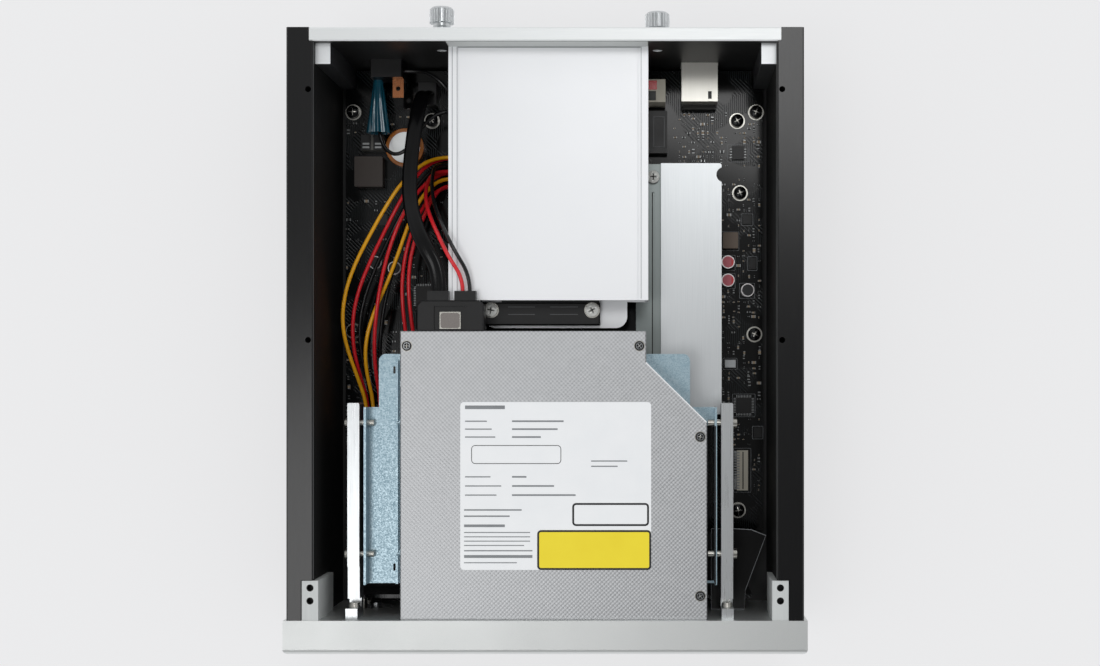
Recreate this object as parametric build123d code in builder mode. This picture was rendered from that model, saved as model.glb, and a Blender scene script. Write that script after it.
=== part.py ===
"""Compact music server with its top cover taken off, as separate pieces, in millimetres.

The front panel faces -Y. The case stands on its feet at Z = 0 and is centred on X.
Y = 0 is half way from the front panel's face to the tip of the longer thumbscrew.
"""
import math
import os

from build123d import *

os.makedirs("parts", exist_ok=True)

# Case
front_overhang = 1.5
front_thickness = 14.1
front_height = 64.0
front_edge_round = 2.2
body_width = 215.0
side_thickness = 11.2
side_edge_chamfer = 0.6
rear_thickness = 5.8
rear_rebate = 1.8
floor_thickness = 3.0
foot_height = 8.0

# Clearances and cuts
gap = 0.3
slip = 0.08
slot_clearance = 0.4
overrun = 1.0

# Feet
foot_radius = 15.0
foot_taper = 1.5
foot_inset_x = 24.0
foot_inset_y = 26.0
foot_pad_radius = 10.5
foot_pad_thickness = 2.0
foot_pad_proud = 0.8
foot_edge_round = 1.2

# Countersunk case screws
case_screw_radius = 1.5
case_screw_head_radius = 2.9
case_screw_length = 9.0
case_screw_socket = 1.0
floor_screw_y_shares = (0.06, 0.36, 0.66, 0.94)
rear_screw_height_shares = (0.2, 0.8)

# Corner posts and front brackets
post_width = 6.2
post_depth = 8.6
post_drop = 4.5
bracket_width = 6.8
bracket_depth = 16.6
bracket_height = 30.0
bracket_overhang = 2.0
bracket_drop = 0.4
bracket_hole_radius = 1.5
bracket_hole_depth = 12.0
bracket_hole_spacing = 5.4
bracket_hole_setback = 8.2

# Lid screw holes in the tops of the side panels
lid_hole_radius = 1.25
lid_hole_depth = 10.0
lid_hole_inset = 2.1
lid_hole_rear_setback = 25.8
lid_hole_spacing = 104.1

# Optical disc drive
drive_width = 128.0
drive_length = 126.1
drive_height = 12.7
drive_x = 3.3
drive_insert = 5.7
drive_drop = 3.0
drive_cut_width = 25.4
drive_cut_straight = 12.9
drive_cut_slant = 25.0
shell_gauge = 0.8
cover_screw_inset = 2.8
cover_screw_rear_setback = 6.2
cover_screw_front_setback = 15.6
cover_screw_head_radius = 1.5
cover_screw_head_height = 0.5
cover_screw_radius = 0.8
cover_screw_length = 1.6
cover_lug_length = 6.0
cover_lug_depth = 4.6
cover_lug_gauge = 1.0
cover_notch_setback = 20.8
cover_notch_length = 2.4
cover_notch_depth = 0.9

# Disc tray and its mechanism
tray_side_gap = 0.5
tray_height = 8.3
tray_wall = 1.6
tray_deck = 1.8
disc_recess_radius = 60.4
disc_recess_depth = 2.0
small_disc_radius = 40.4
small_disc_depth = 0.6
spindle_setback = 62.0
deck_hole_radius = 17.5
laser_slot_width = 22.0
laser_slot_reach = 63.5
traverse_angle = 225.0
frame_gauge = 0.8
frame_tail = 15.0
frame_reach = 66.5
frame_half_width = 15.6
motor_radius = 11.0
motor_height = 4.3
hub_shaft_radius = 1.5
hub_shaft_length = 3.0
hub_disc_radius = 14.0
hub_disc_thickness = 1.4
hub_boss_radius = 7.4
hub_boss_height = 2.3
hub_boss_chamfer = 0.7
rod_radius = 1.2
rod_spread = 13.0
rod_height = 1.9
lug_length = 2.6
lug_width = 4.6
lug_start = 12.5
sled_length = 11.0
sled_start = 24.0
sled_clearance = 0.3
lens_radius = 4.0
lens_height = 1.6
lens_bore_radius = 1.8
lens_bore_depth = 0.8
screw_offset = 18.4
screw_radius = 1.2
screw_start = 8.0
feed_motor_length = 13.0
feed_motor_width = 5.0
follower_length = 6.0
follower_clearance = 0.15
bezel_wall = 1.6
bezel_front_wall = 2.0
bezel_edge_round = 0.6
tray_nose_width = 66.0
tray_nose_height = 5.0
tray_nose_shift = -10.0
eject_width = 8.4
eject_height = 3.0
eject_flange = 1.0
eject_flange_thickness = 1.0
eject_x = 48.0
eject_drop = 1.5
pinhole_radius = 0.7
pinhole_x = 38.0

# Sheet cradle under the disc drive, with its two bars
cradle_gauge = 1.0
cradle_front_gap = 13.7
cradle_wide_length = 74.8
cradle_tail_length = 22.6
cradle_tail_left_share = 0.312
cradle_tail_right_inset = 6.8
cradle_corner_round = 3.0
cradle_flange_height = 6.6
cradle_lip_gap = 2.5
cradle_lip_height = 3.0
cradle_slot_length = 3.2
cradle_slot_width = 1.0
cradle_slot_inset = 6.8
cradle_window_gap = 0.4
cradle_window_width = 3.2
cradle_window_length = 66.0
cradle_window_rim = 1.0
bar_left_share = 0.511
bar_right_share = 0.214
bar_gap = 1.8
bar_thickness = 5.0
bar_height = 10.0
bar_drop = 6.0
bar_rear_setback = 90.3
bar_step_setback = 21.4
bar_step = 1.0
bar_notch_setback = 7.8
bar_notch_depth = 5.0
bar_foot_length = 4.3
bar_foot_rise = 4.0
bar_edge_chamfer = 0.4
cradle_screw_rear_inset = 8.4
cradle_screw_front_inset = 26.4
cradle_screw_drop = 5.0
cradle_screw_radius = 1.4
cradle_screw_head_radius = 2.4
cradle_screw_head_height = 1.8
cradle_screw_tail = 2.6
bar_screw_length = 10.0

# Storage bay
bay_x = 0.6
bay_height = 16.8
bay_length = 107.0
bay_drop = 10.4
bay_wall = 1.4
bay_groove_inset = 4.2
bay_groove_width = 0.7
bay_groove_depth = 0.5
bay_base_gauge = 1.2
bay_base_tongue = 11.2
bay_base_tongue_right = 33.0
bay_base_corner_round = 5.0
backplane_left = 28.8
backplane_right = 21.4
backplane_depth = 9.9
backplane_height = 4.0
backplane_tongue_width = 42.0
backplane_tongue_reach = 6.6
backplane_screw_inset = 3.4
backplane_edge_chamfer = 0.6
pillar_radius = 3.2
pillar_x_share = 0.14
pillar_y_shares = (0.12, 0.8)

# Drive caddy that slides out through the rear panel
caddy_gauge = 1.2
caddy_side_height = 9.0
caddy_clearance = 0.4
caddy_front_gap = 5.0
caddy_floor_slot_width = 9.0
caddy_floor_slot_length_share = 0.55
caddy_floor_slot_shares = (-0.3, 0.0, 0.3)
fascia_end_margin = 5.95
fascia_height = 16.8
fascia_thickness = 2.8
fascia_corner_round = 1.5
storage_width = 69.85
storage_side_room = 4.225
storage_end_gap = 0.2
storage_height = 9.5
storage_step = 0.5
storage_rim = 3.0
thumb_bay_gap = 3.9
thumb_knob_radius = 5.25
thumb_knob_length = 6.6
thumb_knob_chamfer = 1.0
thumb_ring_radius = 3.7
thumb_ring_length = 1.4
thumb_shank_radius = 2.0
thumb_stand = 2.3
thumb_backed_out = 2.1
thumb_end_gap = 0.6
thumb_groove_count = 24
thumb_groove_radius = 0.45

# Main circuit board: a place on it is an inset from the nearer side panel, negative from the left one,
# as a share of one component size, and a share of the case's depth; sizes are shares of that size too
component_size = 10.0
board_thickness = 1.6
board_side_gap = 2.2
board_front_gap = 32.4
board_rear_gap = 1.0
board_corner_gap = 0.8
standoff_height = 3.0
standoff_radius = 3.4
board_screw_radius = 1.5
board_screw_head_radius = 2.75
board_screw_head_height = 1.9
board_screw_length = 4.0
board_screw_shares = (
    (-0.559, 0.897),
    (-4.122, 0.881),
    (-0.578, 0.496),
    (1.358, 0.881),
    (0.51, 0.897),
    (1.233, 0.749),
    (0.578, 0.49),
    (1.319, 0.168),
    (-1.319, 0.168),
)
cross_width_share = 0.22
cross_length_share = 1.1
cross_depth_share = 0.5

# Network jack and power inlet
jack_inset = 30.9
jack_width = 16.0
jack_height = 13.5
jack_length = 22.6
jack_recess = 0.3
jack_gauge = 0.5
jack_heel = 2.0
jack_heel_height = 5.0
jack_window_width = 1.6
jack_window_length = 3.5
jack_window_offset = 4.5
jack_window_setback = 2.8
socket_width = 11.8
socket_height = 8.2
socket_depth = 12.5
socket_floor = 2.4
socket_key_width = 6.2
socket_key_height = 1.6
inlet_inset = 23.9
inlet_width = 14.2
inlet_depth = 7.7
inlet_height = 13.0
inlet_top_z = 36.0
inlet_barrel_radius = 5.2
inlet_bore_radius = 3.2
inlet_bore_depth = 9.5
inlet_pin_radius = 1.0
inlet_pin_setback = 1.5
inlet_tab_width = 4.8
inlet_tab_length = 8.0
inlet_tab_gauge = 0.8
inlet_tab_x_share = 0.31
inlet_tab_hole_radius = 1.0
sleeve_x_share = -0.34
sleeve_length = 23.4
sleeve_small_radius = 2.1
sleeve_large_radius = 5.3
sleeve_wall = 0.7
sleeve_rise = 1.5

component_edge_round = 0.5
choke_shares = (
    (-1.358, 0.785, 1.26, 1.35, 0.62),
    (1.676, 0.661, 0.68, 0.72, 0.4),
)
capacitor_spot_shares = (
    (1.791, 0.621),
    (1.791, 0.588),
    (0.915, 0.57),
    (-1.637, 0.62),
    (-2.504, 0.61),
)
capacitor_radius = 2.95
capacitor_height = 5.4
capacitor_groove = 0.25
capacitor_groove_height = 1.0
chip_shares = (
    (1.319, 0.822, 0.53, 0.6, 0.16),
    (1.676, 0.436, 0.54, 0.4, 0.16),
    (0.915, 0.7, 0.4, 0.4, 0.12),
    (0.674, 0.62, 0.3, 0.5, 0.12),
    (1.059, 0.36, 0.7, 0.7, 0.12),
    (0.433, 0.31, 0.35, 0.45, 0.12),
    (-0.963, 0.42, 0.6, 0.4, 0.14),
    (-3.852, 0.56, 0.9, 0.9, 0.14),
    (-1.926, 0.7, 0.4, 0.5, 0.14),
    (6.741, 0.72, 1.4, 1.4, 0.16),
)
black_connector_shares = (
    (-5.634, 0.784, 0.8, 1.8, 0.84),
    (-5.73, 0.898, 1.0, 1.2, 0.84),
    (4.95, 0.857, 0.85, 1.9, 0.6),
    (-1.599, 0.307, 1.1, 0.9, 0.9),
    (-3.428, 0.34, 1.0, 0.9, 0.9),
    (-4.025, 0.925, 0.8, 1.0, 0.84),
)
white_socket_shares = (
    (5.306, 0.926, 1.4, 1.0, 1.4),
    (1.127, 0.241, 0.5, 1.8, 0.2),
    (-1.512, 0.838, 1.0, 0.68, 0.56),
)
cell_spot_shares = (-2.947, 0.83)
cell_radius = 8.0
cell_height = 3.4
cell_wrap_thickness = 0.6
cell_window_radius = 6.95

# Heat spreader over the processor
spreader_inset = 46.1
spreader_width = 24.7
spreader_rear_y_share = 0.793
spreader_front_y_share = 0.345
spreader_gauge = 2.0
spreader_rise = 16.4
spreader_step = 3.0
spreader_strip_width = 13.0
spreader_notch_radius = 3.4
spreader_notch_setback = 5.0
spreader_notch_offset = 1.1
spreader_groove_width = 1.2
spreader_groove_depth = 0.6
spreader_groove_setback = 12.4
spreader_screw_offset = 5.4
spreader_screw_setback = 5.8
spreader_corner_round = 1.0

# Power and data plug on the disc drive
plug_x = -43.4
plug_width = 28.1
plug_depth = 12.9
plug_bay_gap = 0.4
plug_height = 9.0
plug_rise = 1.7
plug_chamfer = 2.0
plug_edge_chamfer = 0.5
boot_width = 9.0
boot_left_shift = -5.2
boot_right_shift = 6.2
boot_length = 4.0
boot_height = 4.4
boot_drop = 0.4
clip_width = 8.8
clip_length = 7.1
clip_gauge = 0.8
clip_setback = 1.0
clip_recess_margin = 2.4

# Front circuit board and power button
front_board_side_gap = 8.3
front_board_height = 26.0
front_board_rise = 3.0
front_board_stand = 5.0
front_spacer_radius = 2.4
front_spacer_inset = 5.0
button_inset = 18.3
button_height = 21.0
button_radius = 6.0
button_recess = 0.3
button_shoulder = 5.0
button_flange = 1.2
button_flange_thickness = 2.0
button_stem_radius = 2.4
button_travel = 1.0
button_dish = 0.4
switch_size = 6.0
switch_height = 2.0

# Wires: each route is a list of points chosen by hand, from the first end to the last
wire_diameter = 1.7
data_cable_width = 6.5
data_cable_thickness = 1.8
bend_share = 0.45
yellow_routes = (
    (
        (-43.97, 77.6, 21.6),
        (-50.0, 77.6, 21.6),
        (-57.6, 74.0, 27.6),
        (-66.0, 64.5, 34.0),
        (-73.0, 52.5, 37.0),
        (-79.5, 40.5, 37.8),
        (-86.0, 28.0, 37.5),
        (-90.6, 15.0, 36.5),
        (-92.0, 2.0, 34.5),
        (-90.0, -10.0, 31.0),
        (-86.5, -21.5, 26.5),
        (-83.3, -33.5, 21.8),
        (-83.3, -42.22, 21.8),
    ),
    (
        (-43.97, 68.0, 21.6),
        (-49.4, 68.0, 21.6),
        (-55.2, 62.8, 27.0),
        (-60.5, 53.0, 32.6),
        (-64.6, 41.5, 33.4),
        (-68.6, 30.0, 33.4),
        (-73.2, 18.5, 33.2),
        (-78.6, 7.0, 32.8),
        (-82.4, -5.5, 31.2),
        (-82.8, -18.0, 27.6),
        (-80.3, -32.0, 21.8),
        (-80.3, -42.22, 21.8),
    ),
)
red_routes = (
    (
        (-43.97, 77.6, 18.2),
        (-50.0, 77.6, 18.2),
        (-57.4, 73.0, 24.0),
        (-64.0, 62.5, 30.0),
        (-69.5, 51.5, 32.6),
        (-75.0, 40.0, 33.4),
        (-80.5, 28.5, 33.4),
        (-85.4, 16.5, 32.6),
        (-88.2, 4.0, 31.0),
        (-88.2, -9.0, 28.0),
        (-86.0, -21.0, 23.4),
        (-83.3, -33.0, 18.2),
        (-83.3, -42.22, 18.2),
    ),
    (
        (-43.97, 71.2, 18.2),
        (-49.0, 71.2, 18.2),
        (-55.8, 66.4, 24.4),
        (-62.4, 57.0, 31.2),
        (-67.4, 45.5, 35.4),
        (-71.4, 33.5, 36.8),
        (-74.4, 21.0, 36.8),
        (-76.6, 8.5, 35.6),
        (-78.2, -4.5, 32.6),
        (-78.6, -17.5, 28.0),
        (-77.3, -31.5, 21.8),
        (-77.3, -42.22, 21.8),
    ),
    (
        (-43.97, 64.8, 18.2),
        (-49.4, 64.8, 18.2),
        (-54.8, 59.4, 24.6),
        (-58.8, 50.5, 31.6),
        (-62.0, 40.5, 35.2),
        (-64.4, 29.5, 36.6),
        (-65.4, 18.0, 36.4),
        (-65.0, 6.5, 34.6),
        (-64.0, -5.0, 31.2),
        (-63.4, -15.5, 26.0),
        (-63.8, -26.0, 20.2),
        (-63.8, -34.08, 20.2),
    ),
    (
        (-43.97, 64.8, 21.6),
        (-49.0, 64.8, 21.6),
        (-53.2, 58.2, 28.4),
        (-55.8, 49.5, 35.4),
        (-58.8, 40.5, 38.8),
        (-61.2, 30.0, 40.2),
        (-62.0, 18.5, 39.8),
        (-61.4, 7.0, 37.6),
        (-60.4, -4.5, 33.4),
        (-59.8, -15.0, 27.4),
        (-60.2, -25.5, 20.2),
        (-60.2, -34.08, 20.2),
    ),
    (
        (-43.97, 71.2, 21.6),
        (-49.2, 71.2, 21.6),
        (-53.4, 69.4, 27.2),
        (-54.6, 63.4, 36.0),
        (-53.6, 55.6, 46.4),
        (-50.2, 47.4, 56.2),
        (-45.6, 38.6, 63.8),
        (-40.8, 29.2, 67.0),
        (-35.2, 20.5, 64.4),
        (-35.2, 14.9, 64.4),
    ),
)
black_routes = (
    (
        (-43.97, 74.4, 18.2),
        (-50.0, 74.4, 18.2),
        (-56.8, 69.6, 22.2),
        (-62.6, 60.0, 26.6),
        (-68.0, 49.0, 29.2),
        (-73.4, 37.5, 30.2),
        (-78.6, 26.0, 30.2),
        (-83.2, 14.0, 29.4),
        (-85.8, 1.5, 27.8),
        (-85.4, -11.0, 25.0),
        (-83.0, -22.5, 21.0),
        (-80.3, -33.0, 18.2),
        (-80.3, -42.22, 18.2),
    ),
    (
        (-43.97, 68.0, 18.2),
        (-49.2, 68.0, 18.2),
        (-55.2, 63.0, 23.4),
        (-60.4, 53.5, 28.4),
        (-64.8, 43.0, 30.4),
        (-68.6, 31.5, 30.6),
        (-72.2, 19.5, 30.4),
        (-75.0, 7.0, 29.6),
        (-76.6, -6.0, 27.6),
        (-77.0, -19.0, 23.4),
        (-77.3, -31.5, 18.2),
        (-77.3, -42.22, 18.2),
    ),
    (
        (-43.97, 74.4, 21.6),
        (-48.8, 74.4, 21.6),
        (-52.2, 72.8, 27.4),
        (-52.0, 66.6, 37.0),
        (-50.6, 58.6, 47.4),
        (-47.6, 50.4, 57.2),
        (-43.4, 41.6, 65.0),
        (-38.2, 31.8, 68.4),
        (-32.2, 21.5, 64.4),
        (-32.2, 14.9, 64.4),
    ),
    (
        (-65.3, 114.2, 31.0),
        (-60.0, 114.2, 31.0),
        (-54.4, 113.0, 33.2),
        (-49.4, 109.6, 34.4),
        (-45.2, 105.0, 33.2),
        (-42.2, 100.2, 29.5),
        (-42.2, 100.2, 24.0),
    ),
    (
        (-77.2, 110.6, 28.0),
        (-77.2, 99.0, 28.0),
        (-76.9, 88.5, 28.3),
        (-74.6, 80.6, 28.9),
        (-69.6, 77.0, 29.8),
        (-63.8, 79.4, 30.8),
        (-60.0, 85.2, 31.6),
        (-56.0, 91.0, 32.0),
        (-50.8, 94.9, 32.2),
        (-46.2, 96.2, 32.0),
        (-42.2, 96.5, 29.4),
        (-42.2, 96.5, 24.0),
    ),
)
data_cable_route = (
    (-56.0, 105.6, 24.0),
    (-56.0, 105.6, 32.0),
    (-57.2, 98.5, 39.0),
    (-58.6, 87.5, 43.0),
    (-59.6, 76.5, 45.6),
    (-60.0, 65.5, 49.0),
    (-59.2, 55.0, 53.5),
    (-56.4, 45.0, 59.0),
    (-52.0, 35.0, 63.4),
    (-45.3, 24.0, 64.4),
    (-45.3, 14.9, 64.4),
)

# Datums worked out from the sizes above
front_width = body_width + 2 * front_overhang
body_depth = drive_length - drive_insert + plug_depth + plug_bay_gap + bay_length + rear_thickness
thumb_reach = thumb_stand + thumb_backed_out + thumb_ring_length + thumb_knob_length
front_y = -(front_thickness + body_depth + thumb_reach) / 2
back_y = front_y + front_thickness
rear_y = back_y + body_depth
rear_inner_y = rear_y - rear_thickness
middle_y = (back_y + rear_y) / 2
floor_z = foot_height + floor_thickness
top_z = foot_height + front_height
inner_x = body_width / 2 - side_thickness
side_middle_x = body_width / 2 - side_thickness / 2
board_z = floor_z + standoff_height
board_top_z = board_z + board_thickness
drive_front_y = back_y - drive_insert
drive_rear_y = drive_front_y + drive_length
drive_top_z = top_z - drive_drop
drive_z = drive_top_z - drive_height
tray_z = drive_z + shell_gauge + gap
tray_top_z = tray_z + tray_height
deck_top_z = tray_top_z - disc_recess_depth
deck_z = deck_top_z - tray_deck
spindle_y = drive_front_y + spindle_setback
drive_left_x = drive_x - drive_width / 2
drive_right_x = drive_x + drive_width / 2
left_room = inner_x + drive_left_x
right_room = inner_x - drive_right_x
bar_left_x = drive_left_x - bar_left_share * left_room
bar_right_x = drive_right_x + bar_right_share * right_room
cradle_left_x = bar_left_x + bar_gap
cradle_right_x = bar_right_x - bar_gap
cradle_z = drive_z - cradle_gauge
cradle_front_y = back_y + cradle_front_gap
bar_top_z = drive_top_z - bar_drop
bar_z = bar_top_z - bar_height
bay_width = storage_width + 2 * (storage_side_room + caddy_gauge + caddy_clearance + bay_wall)
thumb_spacing = bay_width + 2 * thumb_bay_gap
fascia_width = thumb_spacing + 2 * fascia_end_margin
storage_length = bay_length - backplane_tongue_reach - storage_end_gap
bay_top_z = top_z - bay_drop
bay_z = bay_top_z - bay_height
bay_floor_z = bay_z + bay_base_gauge
bay_front_y = rear_inner_y - bay_length
bay_middle_z = bay_z + bay_height / 2
jack_x = inner_x - jack_inset
inlet_x = inlet_inset - inner_x
button_x = button_inset - inner_x
front_board_width = 2 * (inner_x - front_board_side_gap)
spreader_x = inner_x - spreader_inset
spreader_screw_x = spreader_x - spreader_screw_offset
spreader_top_z = board_top_z + spreader_rise + spreader_gauge


def facing_front(y):
    """Upright plane at the given Y that faces the front; its local axes are X and Z."""
    return Plane.XZ.offset(-y)


def spot(inset_share, y_share):
    """Place on the board, from an inset share and a share of the case's depth."""
    x = math.copysign(inner_x, inset_share) - inset_share * component_size
    return (x, back_y + y_share * body_depth)


def write(piece, name):
    """Label a finished piece and write its file."""
    piece.part.label = name
    export_step(piece.part, f"parts/{name}.step")


def block(x_limits, y_limits, z_limits, mode=Mode.ADD):
    """Block between two limits along each axis."""
    limits = (x_limits, y_limits, z_limits)
    with Locations(tuple((low + high) / 2 for low, high in limits)):
        Box(*(high - low for low, high in limits), mode=mode)


def pan_screws(places, head_radius, head_height, shank_radius, shank_length):
    """Cross-headed screws, one on each plane: the head stands on it and the shank runs below."""
    with BuildPart() as screws:
        with BuildSketch(*places):
            Circle(head_radius)
        extrude(amount=head_height, taper=10)
        with BuildSketch(*places):
            Circle(shank_radius)
        extrude(amount=-shank_length)
        with BuildSketch(*(place.offset(head_height) for place in places)):
            Rectangle(head_radius * cross_length_share, head_radius * cross_width_share)
            Rectangle(head_radius * cross_width_share, head_radius * cross_length_share)
        extrude(amount=-head_height * cross_depth_share, mode=Mode.SUBTRACT)
    return screws


# Front panel: thick slab with rounded front edges, a slot for the disc tray and a button bore
button_z = foot_height + button_height
bezel_middle_z = drive_z + drive_height / 2
bar_middles = (bar_left_x - bar_thickness / 2, bar_right_x + bar_thickness / 2)
bar_screw_z = bar_top_z - bar_notch_depth / 2
bar_panel_hole_depth = bar_screw_length - bar_foot_length + gap

with BuildPart() as front_panel:
    with BuildSketch(facing_front(back_y)):
        with Locations((0, foot_height + front_height / 2)):
            Rectangle(front_width, front_height)
    extrude(amount=front_thickness)
    fillet(front_panel.faces().sort_by(Axis.Y)[0].edges(), front_edge_round)
    with BuildSketch(facing_front(back_y)):
        with Locations((drive_x, bezel_middle_z)):
            Rectangle(drive_width + 2 * slot_clearance, drive_height + 2 * slot_clearance)
        with Locations((button_x, button_z)):
            Circle(button_radius + gap)
    extrude(amount=front_thickness, mode=Mode.SUBTRACT)
    with BuildSketch(facing_front(back_y)):
        with Locations((button_x, button_z)):
            Circle(button_radius + button_flange + gap)
    extrude(amount=front_thickness - button_shoulder, mode=Mode.SUBTRACT)
    with BuildSketch(facing_front(back_y)):
        with Locations(*((x, bar_screw_z) for x in bar_middles)):
            Circle(cradle_screw_radius + slip)
    extrude(amount=bar_panel_hole_depth, mode=Mode.SUBTRACT)
write(front_panel, "front_panel")

# Side panels: thick plates with a pocket for the front bracket, a rebate for the rear panel,
# and blind holes for the lid screws above and the case screws below
bracket_inner_x = inner_x - bracket_overhang
bracket_outer_x = bracket_inner_x + bracket_width
bracket_z = top_z - bracket_drop - bracket_height
floor_screw_ys = tuple(back_y + share * body_depth for share in floor_screw_y_shares)
lid_hole_ys = (rear_y - lid_hole_rear_setback, rear_y - lid_hole_rear_setback - lid_hole_spacing)


def limits(side, low, high):
    """Limits along X on one side of the case, in rising order."""
    return tuple(sorted((side * low, side * high)))


def side_panel(side):
    """Side panel on the left, side -1, or on the right, side 1."""
    with BuildPart() as panel:
        with BuildSketch(Plane.XY.offset(floor_z)):
            with Locations((side * side_middle_x, middle_y)):
                Rectangle(side_thickness, body_depth)
        extrude(amount=top_z - floor_z)
        chamfer(panel.edges().filter_by(Axis.Y).group_by(Axis.Z)[-1], side_edge_chamfer)
        block(
            limits(side, inner_x - overrun, bracket_outer_x + gap),
            (back_y - overrun, back_y + bracket_depth + gap),
            (bracket_z - gap, top_z + overrun),
            Mode.SUBTRACT,
        )
        block(
            limits(side, inner_x - overrun, inner_x + rear_rebate),
            (rear_inner_y, rear_y + overrun),
            (floor_z - overrun, top_z + overrun),
            Mode.SUBTRACT,
        )
        with BuildSketch(Plane.XY.offset(top_z)):
            with Locations(*((side * (inner_x + lid_hole_inset), y) for y in lid_hole_ys)):
                Circle(lid_hole_radius)
        extrude(amount=-lid_hole_depth, mode=Mode.SUBTRACT)
        with BuildSketch(Plane.XY.offset(floor_z)):
            with Locations(*((side * side_middle_x, y) for y in floor_screw_ys)):
                Circle(case_screw_radius + slip)
        extrude(amount=case_screw_length, mode=Mode.SUBTRACT)
    return panel


write(side_panel(-1), "left_side_panel")
write(side_panel(1), "right_side_panel")

# Rear panel, with the caddy's opening and fascia recess, the jack's opening and the inlet's hole
rear_width = 2 * (inner_x + rear_rebate - slip)
rear_screw_x = inner_x - post_width / 2
post_top_z = top_z - post_drop
rear_screw_zs = tuple(floor_z + share * (post_top_z - floor_z) for share in rear_screw_height_shares)
caddy_width = bay_width - 2 * bay_wall - 2 * caddy_clearance
caddy_z = bay_floor_z + caddy_clearance
caddy_height = max(caddy_side_height, caddy_gauge + storage_height)
thumb_xs = (bay_x - thumb_spacing / 2, bay_x + thumb_spacing / 2)
inlet_middle_z = inlet_top_z - inlet_height / 2

with BuildPart() as rear_panel:
    with BuildSketch(facing_front(rear_y)):
        with Locations((0, (floor_z + top_z) / 2)):
            Rectangle(rear_width, top_z - floor_z)
    extrude(amount=rear_thickness)
    chamfer(rear_panel.edges().filter_by(Axis.X).group_by(Axis.Z)[-1], side_edge_chamfer)
    with BuildSketch(facing_front(rear_y)):
        with Locations((bay_x, bay_middle_z)):
            RectangleRounded(
                fascia_width + 2 * gap, fascia_height + 2 * gap, fascia_corner_round + gap
            )
    extrude(amount=fascia_thickness + gap, mode=Mode.SUBTRACT)
    with BuildSketch(facing_front(rear_y)):
        with Locations((bay_x, caddy_z + caddy_height / 2)):
            Rectangle(caddy_width + 2 * caddy_clearance, caddy_height + 2 * caddy_clearance)
        with Locations((jack_x, board_top_z + jack_height / 2)):
            Rectangle(jack_width + 2 * gap, jack_height + 2 * gap)
        with Locations((inlet_x, inlet_middle_z)):
            Circle(inlet_barrel_radius + slip)
        with Locations(*((x, bay_middle_z) for x in thumb_xs)):
            Circle(thumb_shank_radius + slip)
        with Locations(*((side * rear_screw_x, z) for side in (-1, 1) for z in rear_screw_zs)):
            Circle(case_screw_radius + slip)
    extrude(amount=rear_thickness, mode=Mode.SUBTRACT)
    with BuildSketch(facing_front(rear_y)):
        with Locations(*((side * rear_screw_x, z) for side in (-1, 1) for z in rear_screw_zs)):
            Circle(case_screw_head_radius + slip)
    extrude(amount=case_screw_head_radius - case_screw_radius, taper=45, mode=Mode.SUBTRACT)
write(rear_panel, "rear_panel")

# Bottom plate, with countersinks for the case screws
foot_spots = tuple(
    (side_x * (body_width / 2 - foot_inset_x), y)
    for side_x in (-1, 1)
    for y in (back_y + foot_inset_y, rear_y - foot_inset_y)
)
floor_screw_spots = tuple((side * side_middle_x, y) for side in (-1, 1) for y in floor_screw_ys)

with BuildPart() as bottom_plate:
    with BuildSketch(Plane.XY.offset(foot_height)):
        with Locations((0, middle_y)):
            Rectangle(body_width, body_depth)
        with Locations(*floor_screw_spots):
            Circle(case_screw_radius + slip, mode=Mode.SUBTRACT)
    extrude(amount=floor_thickness)
    with BuildSketch(Plane.XY.offset(foot_height)):
        with Locations(*floor_screw_spots):
            Circle(case_screw_head_radius + slip)
    extrude(amount=case_screw_head_radius - case_screw_radius, taper=45, mode=Mode.SUBTRACT)
write(bottom_plate, "bottom_plate")

# Countersunk screws: eight hold the side panels from below, four hold the rear panel to its posts
floor_screw_planes = [
    Plane(origin=(x, y, foot_height), x_dir=(1, 0, 0), z_dir=(0, 0, 1)) for x, y in floor_screw_spots
]
rear_screw_planes = [
    Plane(origin=(side * rear_screw_x, rear_y, z), x_dir=(1, 0, 0), z_dir=(0, -1, 0))
    for side in (-1, 1)
    for z in rear_screw_zs
]

with BuildPart() as case_screws:
    with BuildSketch(*floor_screw_planes, *rear_screw_planes):
        Circle(case_screw_head_radius)
    extrude(amount=case_screw_head_radius - case_screw_radius, taper=45)
    with BuildSketch(*floor_screw_planes, *rear_screw_planes):
        Circle(case_screw_radius)
    extrude(amount=case_screw_length)
    with BuildSketch(*floor_screw_planes, *rear_screw_planes):
        RegularPolygon(case_screw_socket, 6)
    extrude(amount=case_screw_socket, mode=Mode.SUBTRACT)
write(case_screws, "case_screws")

# Feet: turned cups with a rubber pad let into the underside
with BuildPart() as feet:
    with BuildSketch(Plane.XY.offset(foot_height)):
        with Locations(*foot_spots):
            Circle(foot_radius)
    extrude(amount=-(foot_height - foot_pad_proud), taper=foot_taper)
    fillet(feet.faces().filter_by(Plane.XY).group_by(Axis.Z)[0].edges(), foot_edge_round)
    with BuildSketch(Plane.XY.offset(foot_pad_proud)):
        with Locations(*foot_spots):
            Circle(foot_pad_radius)
    extrude(amount=foot_pad_thickness - foot_pad_proud, mode=Mode.SUBTRACT)
write(feet, "feet")

with BuildPart() as foot_pads:
    with BuildSketch():
        with Locations(*foot_spots):
            Circle(foot_pad_radius - slip)
    extrude(amount=foot_pad_thickness)
write(foot_pads, "foot_pads")


def rear_post(side):
    """Corner post that the rear panel is screwed to, on the floor against the side panel."""
    with BuildPart() as post:
        block(
            limits(side, inner_x - post_width, inner_x),
            (rear_inner_y - post_depth, rear_inner_y),
            (floor_z, post_top_z),
        )
        with BuildSketch(facing_front(rear_inner_y)):
            with Locations(*((side * rear_screw_x, z) for z in rear_screw_zs)):
                Circle(case_screw_radius + slip)
        extrude(amount=case_screw_length - rear_thickness + gap, mode=Mode.SUBTRACT)
    return post


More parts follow.
